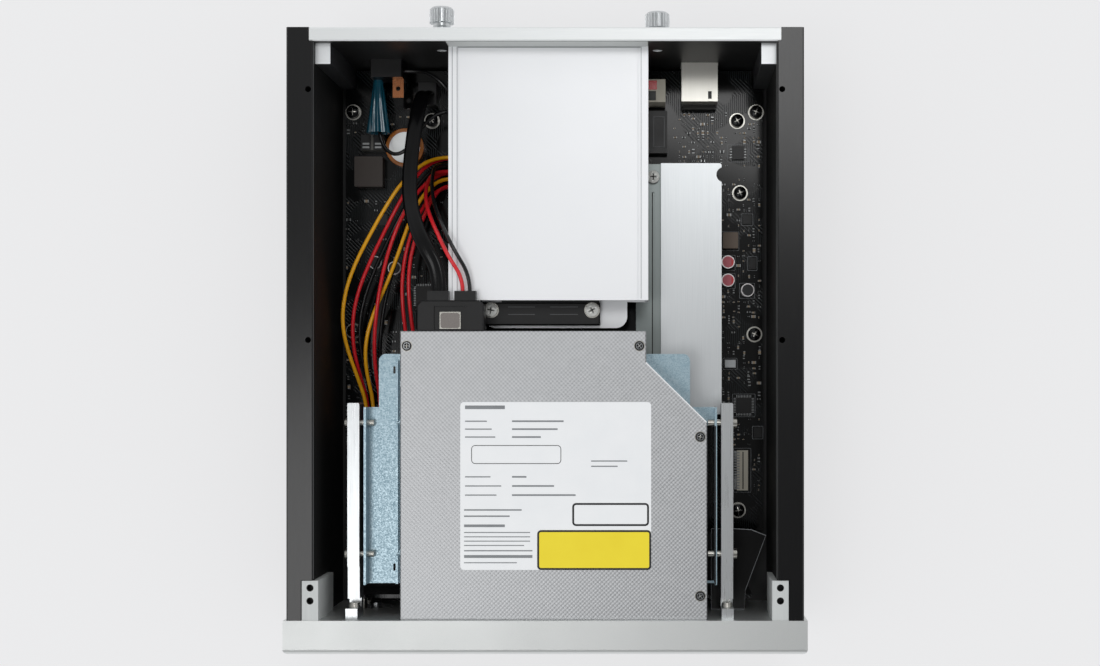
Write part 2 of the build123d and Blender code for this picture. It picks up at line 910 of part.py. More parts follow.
write(rear_post(-1), "left_rear_post")
write(rear_post(1), "right_rear_post")


def front_bracket(side):
    """Bracket on the back of the front panel, nested in the side panel, with two lid holes."""
    with BuildPart() as bracket:
        block(
            limits(side, bracket_inner_x, bracket_outer_x),
            (back_y, back_y + bracket_depth),
            (bracket_z, bracket_z + bracket_height),
        )
        with BuildSketch(Plane.XY.offset(bracket_z + bracket_height)):
            hole_x = side * (bracket_inner_x + bracket_outer_x) / 2
            with Locations(
                (hole_x, back_y + bracket_hole_setback),
                (hole_x, back_y + bracket_hole_setback + bracket_hole_spacing),
            ):
                Circle(bracket_hole_radius)
        extrude(amount=-bracket_hole_depth, mode=Mode.SUBTRACT)
    return bracket


write(front_bracket(-1), "left_front_bracket")
write(front_bracket(1), "right_front_bracket")


def drive_outline(inset, front_reach=0):
    """Plan of the disc drive drawn in by an amount, with its front edge moved forward by a reach."""
    left = drive_left_x + inset
    right = drive_right_x - inset
    front = drive_front_y - front_reach
    rear = drive_rear_y - inset
    cut_x = drive_right_x - drive_cut_width - inset
    cut_angle = math.atan2(drive_cut_slant, drive_cut_width)
    slide = inset * math.tan(cut_angle / 2)
    slide_side = inset * math.tan((math.pi / 2 - cut_angle) / 2)
    cut_y = drive_rear_y - drive_cut_straight
    with BuildSketch() as outline:
        with BuildLine():
            Polyline(
                (left, front),
                (right, front),
                (right, cut_y - drive_cut_slant - slide),
                (cut_x, cut_y - slide_side),
                (cut_x, rear),
                (left, rear),
                close=True,
            )
        make_face()
    return outline.sketch


# Disc drive case: a pressed lower shell, open at the front, and a flat pressed cover
drive_cut_x = drive_right_x - drive_cut_width
cover_z = drive_top_z - shell_gauge
slant_end_y = drive_rear_y - drive_cut_straight - drive_cut_slant
cover_screw_spots = (
    (drive_left_x + cover_screw_inset, drive_rear_y - cover_screw_rear_setback),
    (drive_cut_x - cover_screw_inset, drive_rear_y - cover_screw_rear_setback),
    (drive_right_x - cover_screw_inset, slant_end_y - cover_screw_rear_setback),
    (drive_right_x - cover_screw_inset, drive_front_y + cover_screw_front_setback),
)
cover_lug_sides = (-1, 1, 1, 1)

with BuildPart() as drive_bottom_shell:
    with BuildSketch(Plane.XY.offset(drive_z)):
        add(drive_outline(0))
    extrude(amount=drive_height - shell_gauge)
    with BuildSketch(Plane.XY.offset(drive_z + shell_gauge)):
        add(drive_outline(shell_gauge, overrun))
    extrude(amount=drive_height, mode=Mode.SUBTRACT)
    for (lug_x, lug_y), lug_side in zip(cover_screw_spots, cover_lug_sides):
        wall_x = lug_x + lug_side * cover_screw_inset
        block(
            tuple(sorted((wall_x, wall_x - lug_side * cover_lug_depth))),
            (lug_y - cover_lug_length / 2, lug_y + cover_lug_length / 2),
            (cover_z - cover_lug_gauge, cover_z),
        )
    with BuildSketch(Plane.XY.offset(cover_z)):
        with Locations(*cover_screw_spots):
            Circle(cover_screw_radius + slip)
    extrude(amount=-cover_lug_gauge, mode=Mode.SUBTRACT)
write(drive_bottom_shell, "drive_bottom_shell")

with BuildPart() as drive_top_cover:
    with BuildSketch(Plane.XY.offset(cover_z)):
        add(drive_outline(0))
        with Locations(*cover_screw_spots):
            Circle(cover_screw_radius + slip, mode=Mode.SUBTRACT)
    extrude(amount=shell_gauge)
    chamfer(
        drive_top_cover.faces().sort_by(Axis.Z)[-1].outer_wire().edges(), shell_gauge / 2
    )
    notch_rear_y = drive_rear_y - cover_notch_setback
    block(
        (drive_left_x - overrun, drive_left_x + cover_notch_depth),
        (notch_rear_y - cover_notch_length, notch_rear_y),
        (cover_z - overrun, drive_top_z + overrun),
        Mode.SUBTRACT,
    )
write(drive_top_cover, "drive_top_cover")

cover_screw_planes = [Plane(origin=(x, y, drive_top_z)) for x, y in cover_screw_spots]
drive_cover_screws = pan_screws(
    cover_screw_planes,
    cover_screw_head_radius,
    cover_screw_head_height,
    cover_screw_radius,
    cover_screw_length,
)
write(drive_cover_screws, "drive_cover_screws")


def traverse(z):
    """Plane at a height whose local X runs from the spindle along the laser sled's travel."""
    angle = math.radians(traverse_angle)
    return Plane(
        origin=(drive_x, spindle_y, z), x_dir=(math.cos(angle), math.sin(angle), 0), z_dir=(0, 0, 1)
    )


# Disc tray: a moulded deck with disc recesses above and a walled pocket for the mechanism below
tray_inset = shell_gauge + tray_side_gap
bezel_back_y = drive_front_y - gap
nose_x = drive_x + tray_nose_shift
nose_z = tray_z + (tray_height - tray_nose_height) / 2

with BuildPart() as disc_tray:
    with BuildSketch(Plane.XY.offset(tray_z)):
        add(drive_outline(tray_inset))
    extrude(amount=tray_height)
    with BuildSketch(Plane.XY.offset(tray_top_z)):
        with Locations((drive_x, spindle_y)):
            Circle(disc_recess_radius)
    extrude(amount=-disc_recess_depth, mode=Mode.SUBTRACT)
    with BuildSketch(Plane.XY.offset(deck_top_z)):
        with Locations((drive_x, spindle_y)):
            Circle(small_disc_radius)
    extrude(amount=-small_disc_depth, mode=Mode.SUBTRACT)
    with BuildSketch(Plane.XY.offset(tray_z)):
        add(drive_outline(tray_inset + tray_wall, -tray_wall))
    extrude(amount=deck_z - tray_z, mode=Mode.SUBTRACT)
    with BuildSketch(traverse(deck_z)):
        Circle(deck_hole_radius)
        with Locations((laser_slot_reach / 2, 0)):
            Rectangle(laser_slot_reach, laser_slot_width)
    extrude(amount=tray_top_z - deck_z, mode=Mode.SUBTRACT)
    block(
        (nose_x - tray_nose_width / 2, nose_x + tray_nose_width / 2),
        (front_y + bezel_front_wall, drive_front_y),
        (nose_z, nose_z + tray_nose_height),
    )
write(disc_tray, "disc_tray")

# Tray bezel: a hollow moulded cap that fills the slot, with a hole for the eject button
bezel_width = drive_width + 2 * slot_clearance - 2 * gap
bezel_height = drive_height + 2 * slot_clearance - 2 * gap
eject_z = bezel_middle_z - eject_drop

with BuildPart() as tray_bezel:
    with BuildSketch(facing_front(bezel_back_y)):
        with Locations((drive_x, bezel_middle_z)):
            Rectangle(bezel_width, bezel_height)
    extrude(amount=bezel_back_y - front_y)
    fillet(tray_bezel.faces().sort_by(Axis.Y)[0].edges(), bezel_edge_round)
    with BuildSketch(facing_front(bezel_back_y)):
        with Locations((drive_x, bezel_middle_z)):
            Rectangle(bezel_width - 2 * bezel_wall, bezel_height - 2 * bezel_wall)
    extrude(amount=bezel_back_y - front_y - bezel_front_wall, mode=Mode.SUBTRACT)
    with BuildSketch(facing_front(front_y + bezel_front_wall)):
        with Locations((drive_x + eject_x, eject_z)):
            SlotOverall(eject_width + 2 * gap, eject_height + 2 * gap)
        with Locations((drive_x + pinhole_x, eject_z)):
            Circle(pinhole_radius)
    extrude(amount=bezel_front_wall, mode=Mode.SUBTRACT)
write(tray_bezel, "tray_bezel")

with BuildPart() as eject_button:
    with BuildSketch(facing_front(front_y + bezel_front_wall + gap)):
        with Locations((drive_x + eject_x, eject_z)):
            SlotOverall(eject_width, eject_height)
    extrude(amount=bezel_front_wall + gap)
    with BuildSketch(facing_front(front_y + bezel_front_wall + gap)):
        with Locations((drive_x + eject_x, eject_z)):
            SlotOverall(eject_width + 2 * eject_flange, eject_height + 2 * eject_flange)
    extrude(amount=-eject_flange_thickness)
write(eject_button, "eject_button")

# Traverse frame: a plate under the tray with the spindle motor, rod lugs and feed motor on it
frame_top_z = tray_z + frame_gauge
motor_top_z = frame_top_z + motor_height
rod_z = frame_top_z + rod_height
rod_end = frame_reach
lug_end = frame_reach - lug_length
frame_length = frame_tail + frame_reach
frame_middle = (frame_reach - frame_tail) / 2

with BuildPart() as traverse_frame:
    with BuildSketch(traverse(tray_z)):
        with Locations((frame_middle, 0)):
            Rectangle(frame_length, 2 * frame_half_width)
        with Locations(((screw_start - feed_motor_length + lug_end) / 2, screw_offset / 2)):
            Rectangle(lug_end - screw_start + feed_motor_length, screw_offset + lug_width)
    extrude(amount=frame_gauge)
    with BuildSketch(traverse(frame_top_z)):
        Circle(motor_radius)
    extrude(amount=motor_height)
    with BuildSketch(traverse(frame_top_z)):
        for lug_near in (lug_start, lug_end):
            with Locations(*((lug_near + lug_length / 2, side * rod_spread) for side in (-1, 1))):
                Rectangle(lug_length, lug_width)
        with Locations((lug_end - lug_length / 2, screw_offset)):
            Rectangle(lug_length, lug_width)
        with Locations((screw_start - feed_motor_length / 2, screw_offset)):
            Rectangle(feed_motor_length, feed_motor_width)
    extrude(amount=deck_z - frame_top_z)
    with BuildSketch(traverse(motor_top_z)):
        Circle(hub_shaft_radius + slip)
    extrude(amount=-hub_shaft_length - gap, mode=Mode.SUBTRACT)
    bore_plane = Plane(traverse(rod_z).origin, x_dir=(0, 0, -1), z_dir=traverse(rod_z).x_dir)
    with BuildSketch(bore_plane.offset(lug_start - overrun)):
        with Locations((0, rod_spread), (0, -rod_spread)):
            Circle(rod_radius + slip)
    extrude(amount=rod_end - lug_start + 2 * overrun, mode=Mode.SUBTRACT)
    with BuildSketch(bore_plane.offset(screw_start - follower_length)):
        with Locations((0, screw_offset)):
            Circle(screw_radius + slip)
    extrude(amount=lug_end - screw_start + follower_length + overrun, mode=Mode.SUBTRACT)
write(traverse_frame, "traverse_frame")

with BuildPart() as spindle_hub:
    with BuildSketch(traverse(motor_top_z + gap)):
        Circle(hub_disc_radius)
    extrude(amount=hub_disc_thickness)
    with BuildSketch(traverse(motor_top_z + gap + hub_disc_thickness)):
        Circle(hub_boss_radius)
    extrude(amount=hub_boss_height)
    chamfer(spindle_hub.edges().filter_by(GeomType.CIRCLE).sort_by(Axis.Z)[-1], hub_boss_chamfer)
    with BuildSketch(traverse(motor_top_z + gap)):
        Circle(hub_shaft_radius)
    extrude(amount=-hub_shaft_length)
write(spindle_hub, "spindle_hub")

with BuildPart() as sled_rods:
    with BuildSketch(bore_plane.offset(lug_start)):
        with Locations((0, rod_spread), (0, -rod_spread)):
            Circle(rod_radius)
    extrude(amount=rod_end - lug_start)
write(sled_rods, "sled_rods")

with BuildPart() as lead_screw:
    with BuildSketch(bore_plane.offset(screw_start - follower_length + gap)):
        with Locations((0, screw_offset)):
            Circle(screw_radius)
    extrude(amount=lug_end - screw_start + follower_length - gap)
write(lead_screw, "lead_screw")

# Laser sled: rides on both rods, with the lens on top and an arm round the lead screw
sled_z = frame_top_z + sled_clearance
sled_height = deck_z - sled_clearance - sled_z
sled_half_width = rod_spread + lug_width / 2
follower_end = screw_offset + lug_width / 2

with BuildPart() as laser_sled:
    with BuildSketch(traverse(sled_z)):
        with Locations((sled_start, 0)):
            Rectangle(sled_length, 2 * sled_half_width)
        with Locations((sled_start, follower_end / 2)):
            Rectangle(follower_length, follower_end)
    extrude(amount=sled_height)
    with BuildSketch(traverse(sled_z + sled_height)):
        with Locations((sled_start, 0)):
            Circle(lens_radius)
    extrude(amount=lens_height)
    with BuildSketch(traverse(sled_z + sled_height + lens_height)):
        with Locations((sled_start, 0)):
            Circle(lens_bore_radius)
    extrude(amount=-lens_bore_depth, mode=Mode.SUBTRACT)
    with BuildSketch(bore_plane.offset(sled_start - sled_length)):
        with Locations((0, rod_spread), (0, -rod_spread)):
            Circle(rod_radius + slip)
        with Locations((0, screw_offset)):
            Circle(screw_radius + follower_clearance)
    extrude(amount=2 * sled_length, mode=Mode.SUBTRACT)
write(laser_sled, "laser_sled")

# Sheet cradle: a folded plate under the drive with an upturned flange along each side, a lip beside
# the drive with a relief slot at each end, and a long window on the right
cradle_wide_y = cradle_front_y + cradle_wide_length
cradle_rear_y = cradle_wide_y + cradle_tail_length
cradle_flange_top_z = drive_z + cradle_flange_height
bar_rear_y = back_y + bar_rear_setback
cradle_screw_ys = (bar_rear_y - cradle_screw_rear_inset, back_y + cradle_screw_front_inset)
cradle_screw_z = bar_top_z - cradle_screw_drop
lip_x = drive_left_x - cradle_lip_gap - cradle_gauge
slot_x = lip_x - cradle_slot_width
slot_ys = (cradle_front_y + cradle_slot_inset, cradle_rear_y - cradle_slot_inset)
tail_left_x = drive_left_x - cradle_tail_left_share * left_room
tail_right_x = drive_right_x - cradle_tail_right_inset
window_x = drive_right_x + cradle_window_gap

with BuildPart() as drive_cradle:
    with BuildSketch(Plane.XY.offset(cradle_z)) as cradle_plan:
        with BuildLine():
            Polyline(
                (cradle_left_x, cradle_front_y),
                (cradle_right_x, cradle_front_y),
                (cradle_right_x, cradle_wide_y),
                (tail_right_x, cradle_wide_y),
                (tail_right_x, cradle_rear_y),
                (tail_left_x, cradle_rear_y),
                (tail_left_x, cradle_wide_y),
                (cradle_left_x, cradle_wide_y),
                close=True,
            )
        make_face()
        fillet(cradle_plan.vertices().group_by(Axis.Y)[-1], cradle_corner_round)
        with Locations(*((slot_x, y) for y in slot_ys)):
            SlotOverall(cradle_slot_length, cradle_slot_width, rotation=90, mode=Mode.SUBTRACT)
    extrude(amount=cradle_gauge)
    block(
        (window_x, window_x + cradle_window_width),
        (
            cradle_front_y + cradle_window_rim,
            cradle_front_y + cradle_window_rim + cradle_window_length,
        ),
        (cradle_z - overrun, cradle_z + cradle_gauge + overrun),
        Mode.SUBTRACT,
    )
    block(
        (lip_x, lip_x + cradle_gauge),
        (cradle_front_y, cradle_rear_y - cradle_corner_round),
        (cradle_z, drive_z + cradle_lip_height),
    )
    with BuildSketch(Plane.XY.offset(cradle_z)):
        for flange_x in (cradle_left_x + cradle_gauge / 2, cradle_right_x - cradle_gauge / 2):
            with Locations((flange_x, cradle_front_y + cradle_wide_length / 2)):
                Rectangle(cradle_gauge, cradle_wide_length)
    extrude(amount=cradle_flange_top_z - cradle_z)
    with BuildSketch(Plane.YZ.offset(cradle_left_x - overrun)):
        with Locations(*((y, cradle_screw_z) for y in cradle_screw_ys)):
            Circle(cradle_screw_radius + slip)
    extrude(amount=cradle_right_x - cradle_left_x + 2 * overrun, mode=Mode.SUBTRACT)
write(drive_cradle, "drive_cradle")


def cradle_bar(side):
    """Bar that carries one side of the cradle, screwed to the front panel through its foot."""
    inner = bar_left_x if side < 0 else bar_right_x
    with BuildPart() as bar:
        with BuildSketch(Plane.YZ.offset(inner)):
            with BuildLine():
                Polyline(
                    (back_y, bar_z),
                    (bar_rear_y, bar_z),
                    (bar_rear_y, bar_top_z),
                    (back_y + bar_step_setback, bar_top_z),
                    (back_y + bar_step_setback, bar_top_z - bar_step),
                    (back_y + bar_notch_setback, bar_top_z - bar_step),
                    (back_y + bar_notch_setback, bar_top_z - bar_notch_depth),
                    (back_y + bar_foot_length, bar_top_z - bar_notch_depth),
                    (back_y + bar_foot_length, bar_top_z + bar_foot_rise),
                    (back_y, bar_top_z + bar_foot_rise),
                    close=True,
                )
            make_face()
        extrude(amount=side * bar_thickness)
        rear_end = bar.edges().filter_by(Axis.Z).group_by(Axis.Y)[-1]
        chamfer(rear_end, bar_edge_chamfer)
        with BuildSketch(Plane.YZ.offset(inner)):
            with Locations(*((y, cradle_screw_z) for y in cradle_screw_ys)):
                Circle(cradle_screw_radius + slip)
        extrude(amount=side * bar_thickness, mode=Mode.SUBTRACT)
        with BuildSketch(facing_front(back_y + bar_foot_length)):
            with Locations((inner + side * bar_thickness / 2, bar_screw_z)):
                Circle(cradle_screw_radius + slip)
        extrude(amount=bar_foot_length, mode=Mode.SUBTRACT)
    return bar


write(cradle_bar(-1), "left_cradle_bar")
write(cradle_bar(1), "right_cradle_bar")

# Cradle screws: two through each bar and flange, and one through each bar's foot
cradle_screw_length = bar_thickness + bar_gap + cradle_gauge + cradle_screw_tail
side_screw_planes = [
    Plane(
        origin=(x + side * bar_thickness, y, cradle_screw_z), x_dir=(0, 1, 0), z_dir=(side, 0, 0)
    )
    for x, side in ((bar_left_x, -1), (bar_right_x, 1))
    for y in cradle_screw_ys
]
foot_screw_planes = [
    Plane(origin=(x, back_y + bar_foot_length, bar_screw_z), x_dir=(1, 0, 0), z_dir=(0, 1, 0))
    for x in bar_middles
]
side_screws = pan_screws(
    side_screw_planes,
    cradle_screw_head_radius,
    cradle_screw_head_height,
    cradle_screw_radius,
    cradle_screw_length,
)
foot_screws = pan_screws(
    foot_screw_planes,
    cradle_screw_head_radius,
    cradle_screw_head_height,
    cradle_screw_radius,
    bar_screw_length,
)
with BuildPart() as cradle_screws:
    add(side_screws.part)
    add(foot_screws.part)
write(cradle_screws, "cradle_screws")

# Storage bay: a grooved cover over a base plate, with the drive's socket on the plate's tongue
pillar_spots = tuple(
    (bay_x + side * pillar_x_share * bay_width, bay_front_y + share * bay_length)
    for side in (-1, 1)
    for share in pillar_y_shares
)

with BuildPart() as bay_cage:
    with BuildSketch(facing_front(rear_inner_y)):
        with Locations((bay_x, (bay_floor_z + bay_top_z) / 2)):
            Rectangle(bay_width, bay_top_z - bay_floor_z)
        with Locations((bay_x, (bay_floor_z + bay_top_z - bay_wall) / 2)):
            Rectangle(bay_width - 2 * bay_wall, bay_top_z - bay_wall - bay_floor_z, mode=Mode.SUBTRACT)
        groove_x = bay_width / 2 - bay_groove_inset
        with Locations(*((bay_x + side * groove_x, bay_top_z) for side in (-1, 1))):
            Rectangle(bay_groove_width, 2 * bay_groove_depth, mode=Mode.SUBTRACT)
    extrude(amount=bay_length)
write(bay_cage, "bay_cage")

tongue_y = bay_front_y - bay_base_tongue
with BuildPart() as bay_base:
    with BuildSketch(Plane.XY.offset(bay_z)) as base_plan:
        with Locations((bay_x, (bay_front_y + rear_inner_y) / 2)):
            Rectangle(bay_width, bay_length)
        with Locations(
            (bay_x + (bay_base_tongue_right - backplane_left) / 2, (tongue_y + rear_inner_y) / 2)
        ):
            Rectangle(backplane_left + bay_base_tongue_right, rear_inner_y - tongue_y)
        fillet(base_plan.vertices().group_by(Axis.Y)[0], bay_base_corner_round)
    extrude(amount=bay_base_gauge)
write(bay_base, "bay_base")

# Socket that the stored drive plugs on to
backplane_rear_y = bay_front_y - gap
backplane_front_y = backplane_rear_y - backplane_depth
backplane_screw_y = backplane_rear_y - backplane_screw_inset
backplane_screw_xs = (
    bay_x - backplane_left + backplane_screw_inset,
    bay_x + backplane_right - backplane_screw_inset,
)
with BuildPart() as backplane:
    block(
        (bay_x - backplane_left, bay_x + backplane_right),
        (backplane_front_y, backplane_rear_y),
        (bay_floor_z, bay_floor_z + backplane_height),
    )
    chamfer(backplane.faces().sort_by(Axis.Z)[-1].edges(), backplane_edge_chamfer)
    block(
        (bay_x - backplane_tongue_width / 2, bay_x + backplane_tongue_width / 2),
        (backplane_rear_y, backplane_rear_y + backplane_tongue_reach),
        (caddy_z + caddy_gauge + gap, bay_floor_z + backplane_height - gap),
    )
    with BuildSketch(Plane.XY.offset(bay_floor_z + backplane_height)):
        with Locations(*((x, backplane_screw_y) for x in backplane_screw_xs)):
            Circle(board_screw_radius + slip)
    extrude(amount=-backplane_height, mode=Mode.SUBTRACT)
write(backplane, "backplane")

# Caddy: a folded tray with the drive in it and a fascia let into the rear panel
caddy_front_y = bay_front_y + caddy_front_gap
caddy_rear_y = rear_y - fascia_thickness
caddy_length = caddy_rear_y - caddy_front_y
caddy_middle_y = (caddy_front_y + caddy_rear_y) / 2
storage_front_y = backplane_rear_y + backplane_tongue_reach + gap
storage_z = caddy_z + caddy_gauge

with BuildPart() as caddy_tray:
    with BuildSketch(facing_front(caddy_rear_y)):
        with Locations((bay_x, caddy_z + caddy_side_height / 2)):
            Rectangle(caddy_width, caddy_side_height)
        with Locations((bay_x, caddy_z + caddy_gauge + caddy_side_height / 2)):
            Rectangle(caddy_width - 2 * caddy_gauge, caddy_side_height, mode=Mode.SUBTRACT)
    extrude(amount=caddy_length)
    block(
        (bay_x - caddy_width / 2, bay_x + caddy_width / 2),
        (caddy_rear_y - caddy_gauge, caddy_rear_y),
        (caddy_z, caddy_z + caddy_side_height),
    )
    with BuildSketch(Plane.XY.offset(caddy_z)):
        with Locations(
            *((bay_x + share * caddy_width, caddy_middle_y) for share in caddy_floor_slot_shares)
        ):
            SlotOverall(
                caddy_length * caddy_floor_slot_length_share, caddy_floor_slot_width, rotation=90
            )
    extrude(amount=caddy_gauge, mode=Mode.SUBTRACT)
write(caddy_tray, "caddy_tray")

with BuildPart() as caddy_fascia:
    with BuildSketch(facing_front(rear_y)):
        with Locations((bay_x, bay_middle_z)):
            RectangleRounded(fascia_width, fascia_height, fascia_corner_round)
        with Locations(*((x, bay_middle_z) for x in thumb_xs)):
            Circle(thumb_shank_radius + slip, mode=Mode.SUBTRACT)
    extrude(amount=fascia_thickness)
write(caddy_fascia, "caddy_fascia")

with BuildPart() as storage_drive:
    with BuildSketch(Plane.XY.offset(storage_z)):
        with Locations((bay_x, storage_front_y + storage_length / 2)):
            Rectangle(storage_width, storage_length)
    extrude(amount=storage_height - storage_step)
    with BuildSketch(Plane.XY.offset(storage_z + storage_height - storage_step)):
        with Locations((bay_x, storage_front_y + storage_length / 2)):
            Rectangle(storage_width - 2 * storage_rim, storage_length - 2 * storage_rim)
    extrude(amount=storage_step)
write(storage_drive, "storage_drive")


def thumbscrew(x, backed_out):
    """Captive knurled screw through the fascia, drawn out of its seat by an amount."""
    ring_y = rear_y + thumb_stand + backed_out
    knob_y = ring_y + thumb_ring_length
    tip_y = knob_y + thumb_knob_length
    shank_end_y = rear_inner_y + thumb_end_gap + backed_out
    turning_plane = Plane(origin=(x, 0, bay_middle_z), x_dir=(1, 0, 0), z_dir=(0, 0, 1))
    with BuildPart() as screw:
        with BuildSketch(turning_plane):
            with BuildLine():
                Polyline(
                    (0, shank_end_y),
                    (thumb_shank_radius, shank_end_y),
                    (thumb_shank_radius, ring_y),
                    (thumb_ring_radius, ring_y),
                    (thumb_ring_radius, knob_y),
                    (thumb_knob_radius, knob_y),
                    (thumb_knob_radius, tip_y - thumb_knob_chamfer),
                    (thumb_knob_radius - thumb_knob_chamfer, tip_y),
                    (0, tip_y),
                    close=True,
                )
            make_face()
        revolve(axis=Axis((x, 0, bay_middle_z), (0, 1, 0)))
        with BuildSketch(facing_front(tip_y)):
            with Locations((x, bay_middle_z)):
                with PolarLocations(thumb_knob_radius, thumb_groove_count):
                    Circle(thumb_groove_radius)
        extrude(amount=thumb_knob_length, mode=Mode.SUBTRACT)
    return screw


write(thumbscrew(thumb_xs[0], thumb_backed_out), "left_thumbscrew")
write(thumbscrew(thumb_xs[1], 0), "right_thumbscrew")

# Main board, with corner notches round the posts and holes for screws and bay pillars
board_half_width = inner_x - board_side_gap
board_front_y = back_y + board_front_gap
board_rear_y = rear_inner_y - board_rear_gap
notch_x = inner_x - post_width - board_corner_gap
notch_y = rear_inner_y - post_depth - board_corner_gap
board_screw_spots = tuple(spot(*shares) for shares in board_screw_shares)

with BuildPart() as main_board:
    with BuildSketch(Plane.XY.offset(board_z)):
        with BuildLine():
            Polyline(
                (-board_half_width, board_front_y),
                (board_half_width, board_front_y),
                (board_half_width, notch_y),
                (notch_x, notch_y),
                (notch_x, board_rear_y),
                (-notch_x, board_rear_y),
                (-notch_x, notch_y),
                (-board_half_width, notch_y),
                close=True,
            )
        make_face()
        with Locations(*board_screw_spots):
            Circle(board_screw_radius + slip, mode=Mode.SUBTRACT)
        with Locations(*pillar_spots):
            Circle(pillar_radius + gap, mode=Mode.SUBTRACT)
    extrude(amount=board_thickness)
write(main_board, "main_board")

# Hexagonal standoffs: under the board, under the heat spreader, under the bay and behind the panel
spreader_rear_y = back_y + spreader_rear_y_share * body_depth
spreader_front_y = back_y + spreader_front_y_share * body_depth
spreader_strip_z = spreader_top_z - spreader_step - spreader_gauge
spreader_screw_spots = (
    (spreader_screw_x, spreader_rear_y - spreader_screw_setback),
    (spreader_screw_x, spreader_front_y + spreader_screw_setback),
)
front_board_z = floor_z + front_board_rise
front_spacer_spots = tuple(
    (
        side * (front_board_width / 2 - front_spacer_inset),
        front_board_z + share * front_board_height,
    )
    for side in (-1, 1)
    for share in rear_screw_height_shares
)

with BuildPart() as standoffs:
    with BuildSketch(Plane.XY.offset(floor_z)):
        with Locations(*board_screw_spots):
            RegularPolygon(standoff_radius, 6)
            Circle(board_screw_radius + slip, mode=Mode.SUBTRACT)
    extrude(amount=standoff_height)
    with BuildSketch(Plane.XY.offset(board_top_z)):
        with Locations(*spreader_screw_spots):
            RegularPolygon(standoff_radius, 6)
            Circle(board_screw_radius + slip, mode=Mode.SUBTRACT)
    extrude(amount=spreader_strip_z - board_top_z)
    with BuildSketch(Plane.XY.offset(floor_z)):
        with Locations(*pillar_spots):
            RegularPolygon(pillar_radius, 6)
    extrude(amount=bay_z - floor_z)
    with BuildSketch(facing_front(back_y + front_board_stand)):
        with Locations(*front_spacer_spots):
            RegularPolygon(front_spacer_radius, 6)
    extrude(amount=front_board_stand)
write(standoffs, "standoffs")

# Pan-head screws in the board, the heat spreader and the backplane
board_screw_planes = [Plane(origin=(x, y, board_top_z)) for x, y in board_screw_spots]
spreader_screw_planes = [
    Plane(origin=(x, y, spreader_strip_z + spreader_gauge)) for x, y in spreader_screw_spots
]
backplane_screw_planes = [
    Plane(origin=(x, backplane_screw_y, bay_floor_z + backplane_height)) for x in backplane_screw_xs
]
board_screws = pan_screws(
    board_screw_planes + spreader_screw_planes + backplane_screw_planes,
    board_screw_head_radius,
    board_screw_head_height,
    board_screw_radius,
    board_screw_length,
)
write(board_screws, "board_screws")

# Network jack: a plated shield over a moulded core that holds the socket
jack_rear_y = rear_y - jack_recess
jack_front_y = jack_rear_y - jack_length
jack_top_z = board_top_z + jack_height
jack_left_x = jack_x - jack_width / 2
jack_right_x = jack_x + jack_width / 2

with BuildPart() as ethernet_shield:
    block((jack_left_x, jack_right_x), (jack_front_y, jack_rear_y), (board_top_z, jack_top_z))
    block(
        (jack_left_x + jack_gauge, jack_right_x - jack_gauge),
        (jack_front_y + jack_gauge, jack_rear_y + overrun),
        (board_top_z - overrun, jack_top_z - jack_gauge),
        Mode.SUBTRACT,
    )
    block(
        (jack_left_x + jack_gauge, jack_right_x - jack_gauge),
        (jack_front_y - overrun, jack_front_y + jack_gauge),
        (board_top_z - overrun, board_top_z + jack_heel_height),
        Mode.SUBTRACT,
    )
    with BuildSketch(Plane.XY.offset(jack_top_z)):
        with Locations((jack_x + jack_window_offset, jack_front_y + jack_window_setback)):
            Rectangle(jack_window_width, jack_window_length)
    extrude(amount=-jack_gauge, mode=Mode.SUBTRACT)
write(ethernet_shield, "ethernet_shield")

socket_z = board_top_z + socket_floor
with BuildPart() as ethernet_core:
    block(
        (jack_left_x + jack_gauge, jack_right_x - jack_gauge),
        (jack_front_y + jack_gauge, jack_rear_y),
        (board_top_z, jack_top_z - jack_gauge),
    )
    block(
        (jack_left_x + jack_gauge + slip, jack_right_x - jack_gauge - slip),
        (jack_front_y - jack_heel, jack_front_y + jack_gauge),
        (board_top_z, board_top_z + jack_heel_height - slip),
    )
    with BuildSketch(facing_front(jack_rear_y)):
        with Locations((jack_x, socket_z + socket_height / 2)):
            Rectangle(socket_width, socket_height)
        with Locations((jack_x, socket_z - socket_key_height / 2)):
            Rectangle(socket_key_width, socket_key_height)
    extrude(amount=socket_depth, mode=Mode.SUBTRACT)
write(ethernet_core, "ethernet_core")

# Power inlet: a moulded body behind the rear panel with its barrel in the panel
inlet_front_y = rear_inner_y - inlet_depth
with BuildPart() as power_inlet:
    with BuildSketch(facing_front(rear_inner_y)):
        with Locations((inlet_x, inlet_middle_z)):
            Rectangle(inlet_width, inlet_height)
    extrude(amount=inlet_depth)
    chamfer(power_inlet.edges().filter_by(Axis.Y), component_edge_round)
    with BuildSketch(facing_front(rear_y)):
        with Locations((inlet_x, inlet_middle_z)):
            Circle(inlet_barrel_radius)
    extrude(amount=rear_thickness)
    with BuildSketch(facing_front(rear_y)):
        with Locations((inlet_x, inlet_middle_z)):
            Circle(inlet_bore_radius)
    extrude(amount=inlet_bore_depth, mode=Mode.SUBTRACT)
    with BuildSketch(facing_front(rear_y - inlet_pin_setback)):
        with Locations((inlet_x, inlet_middle_z)):
            Circle(inlet_pin_radius)
    extrude(amount=inlet_bore_depth - inlet_pin_setback)
write(power_inlet, "power_inlet")

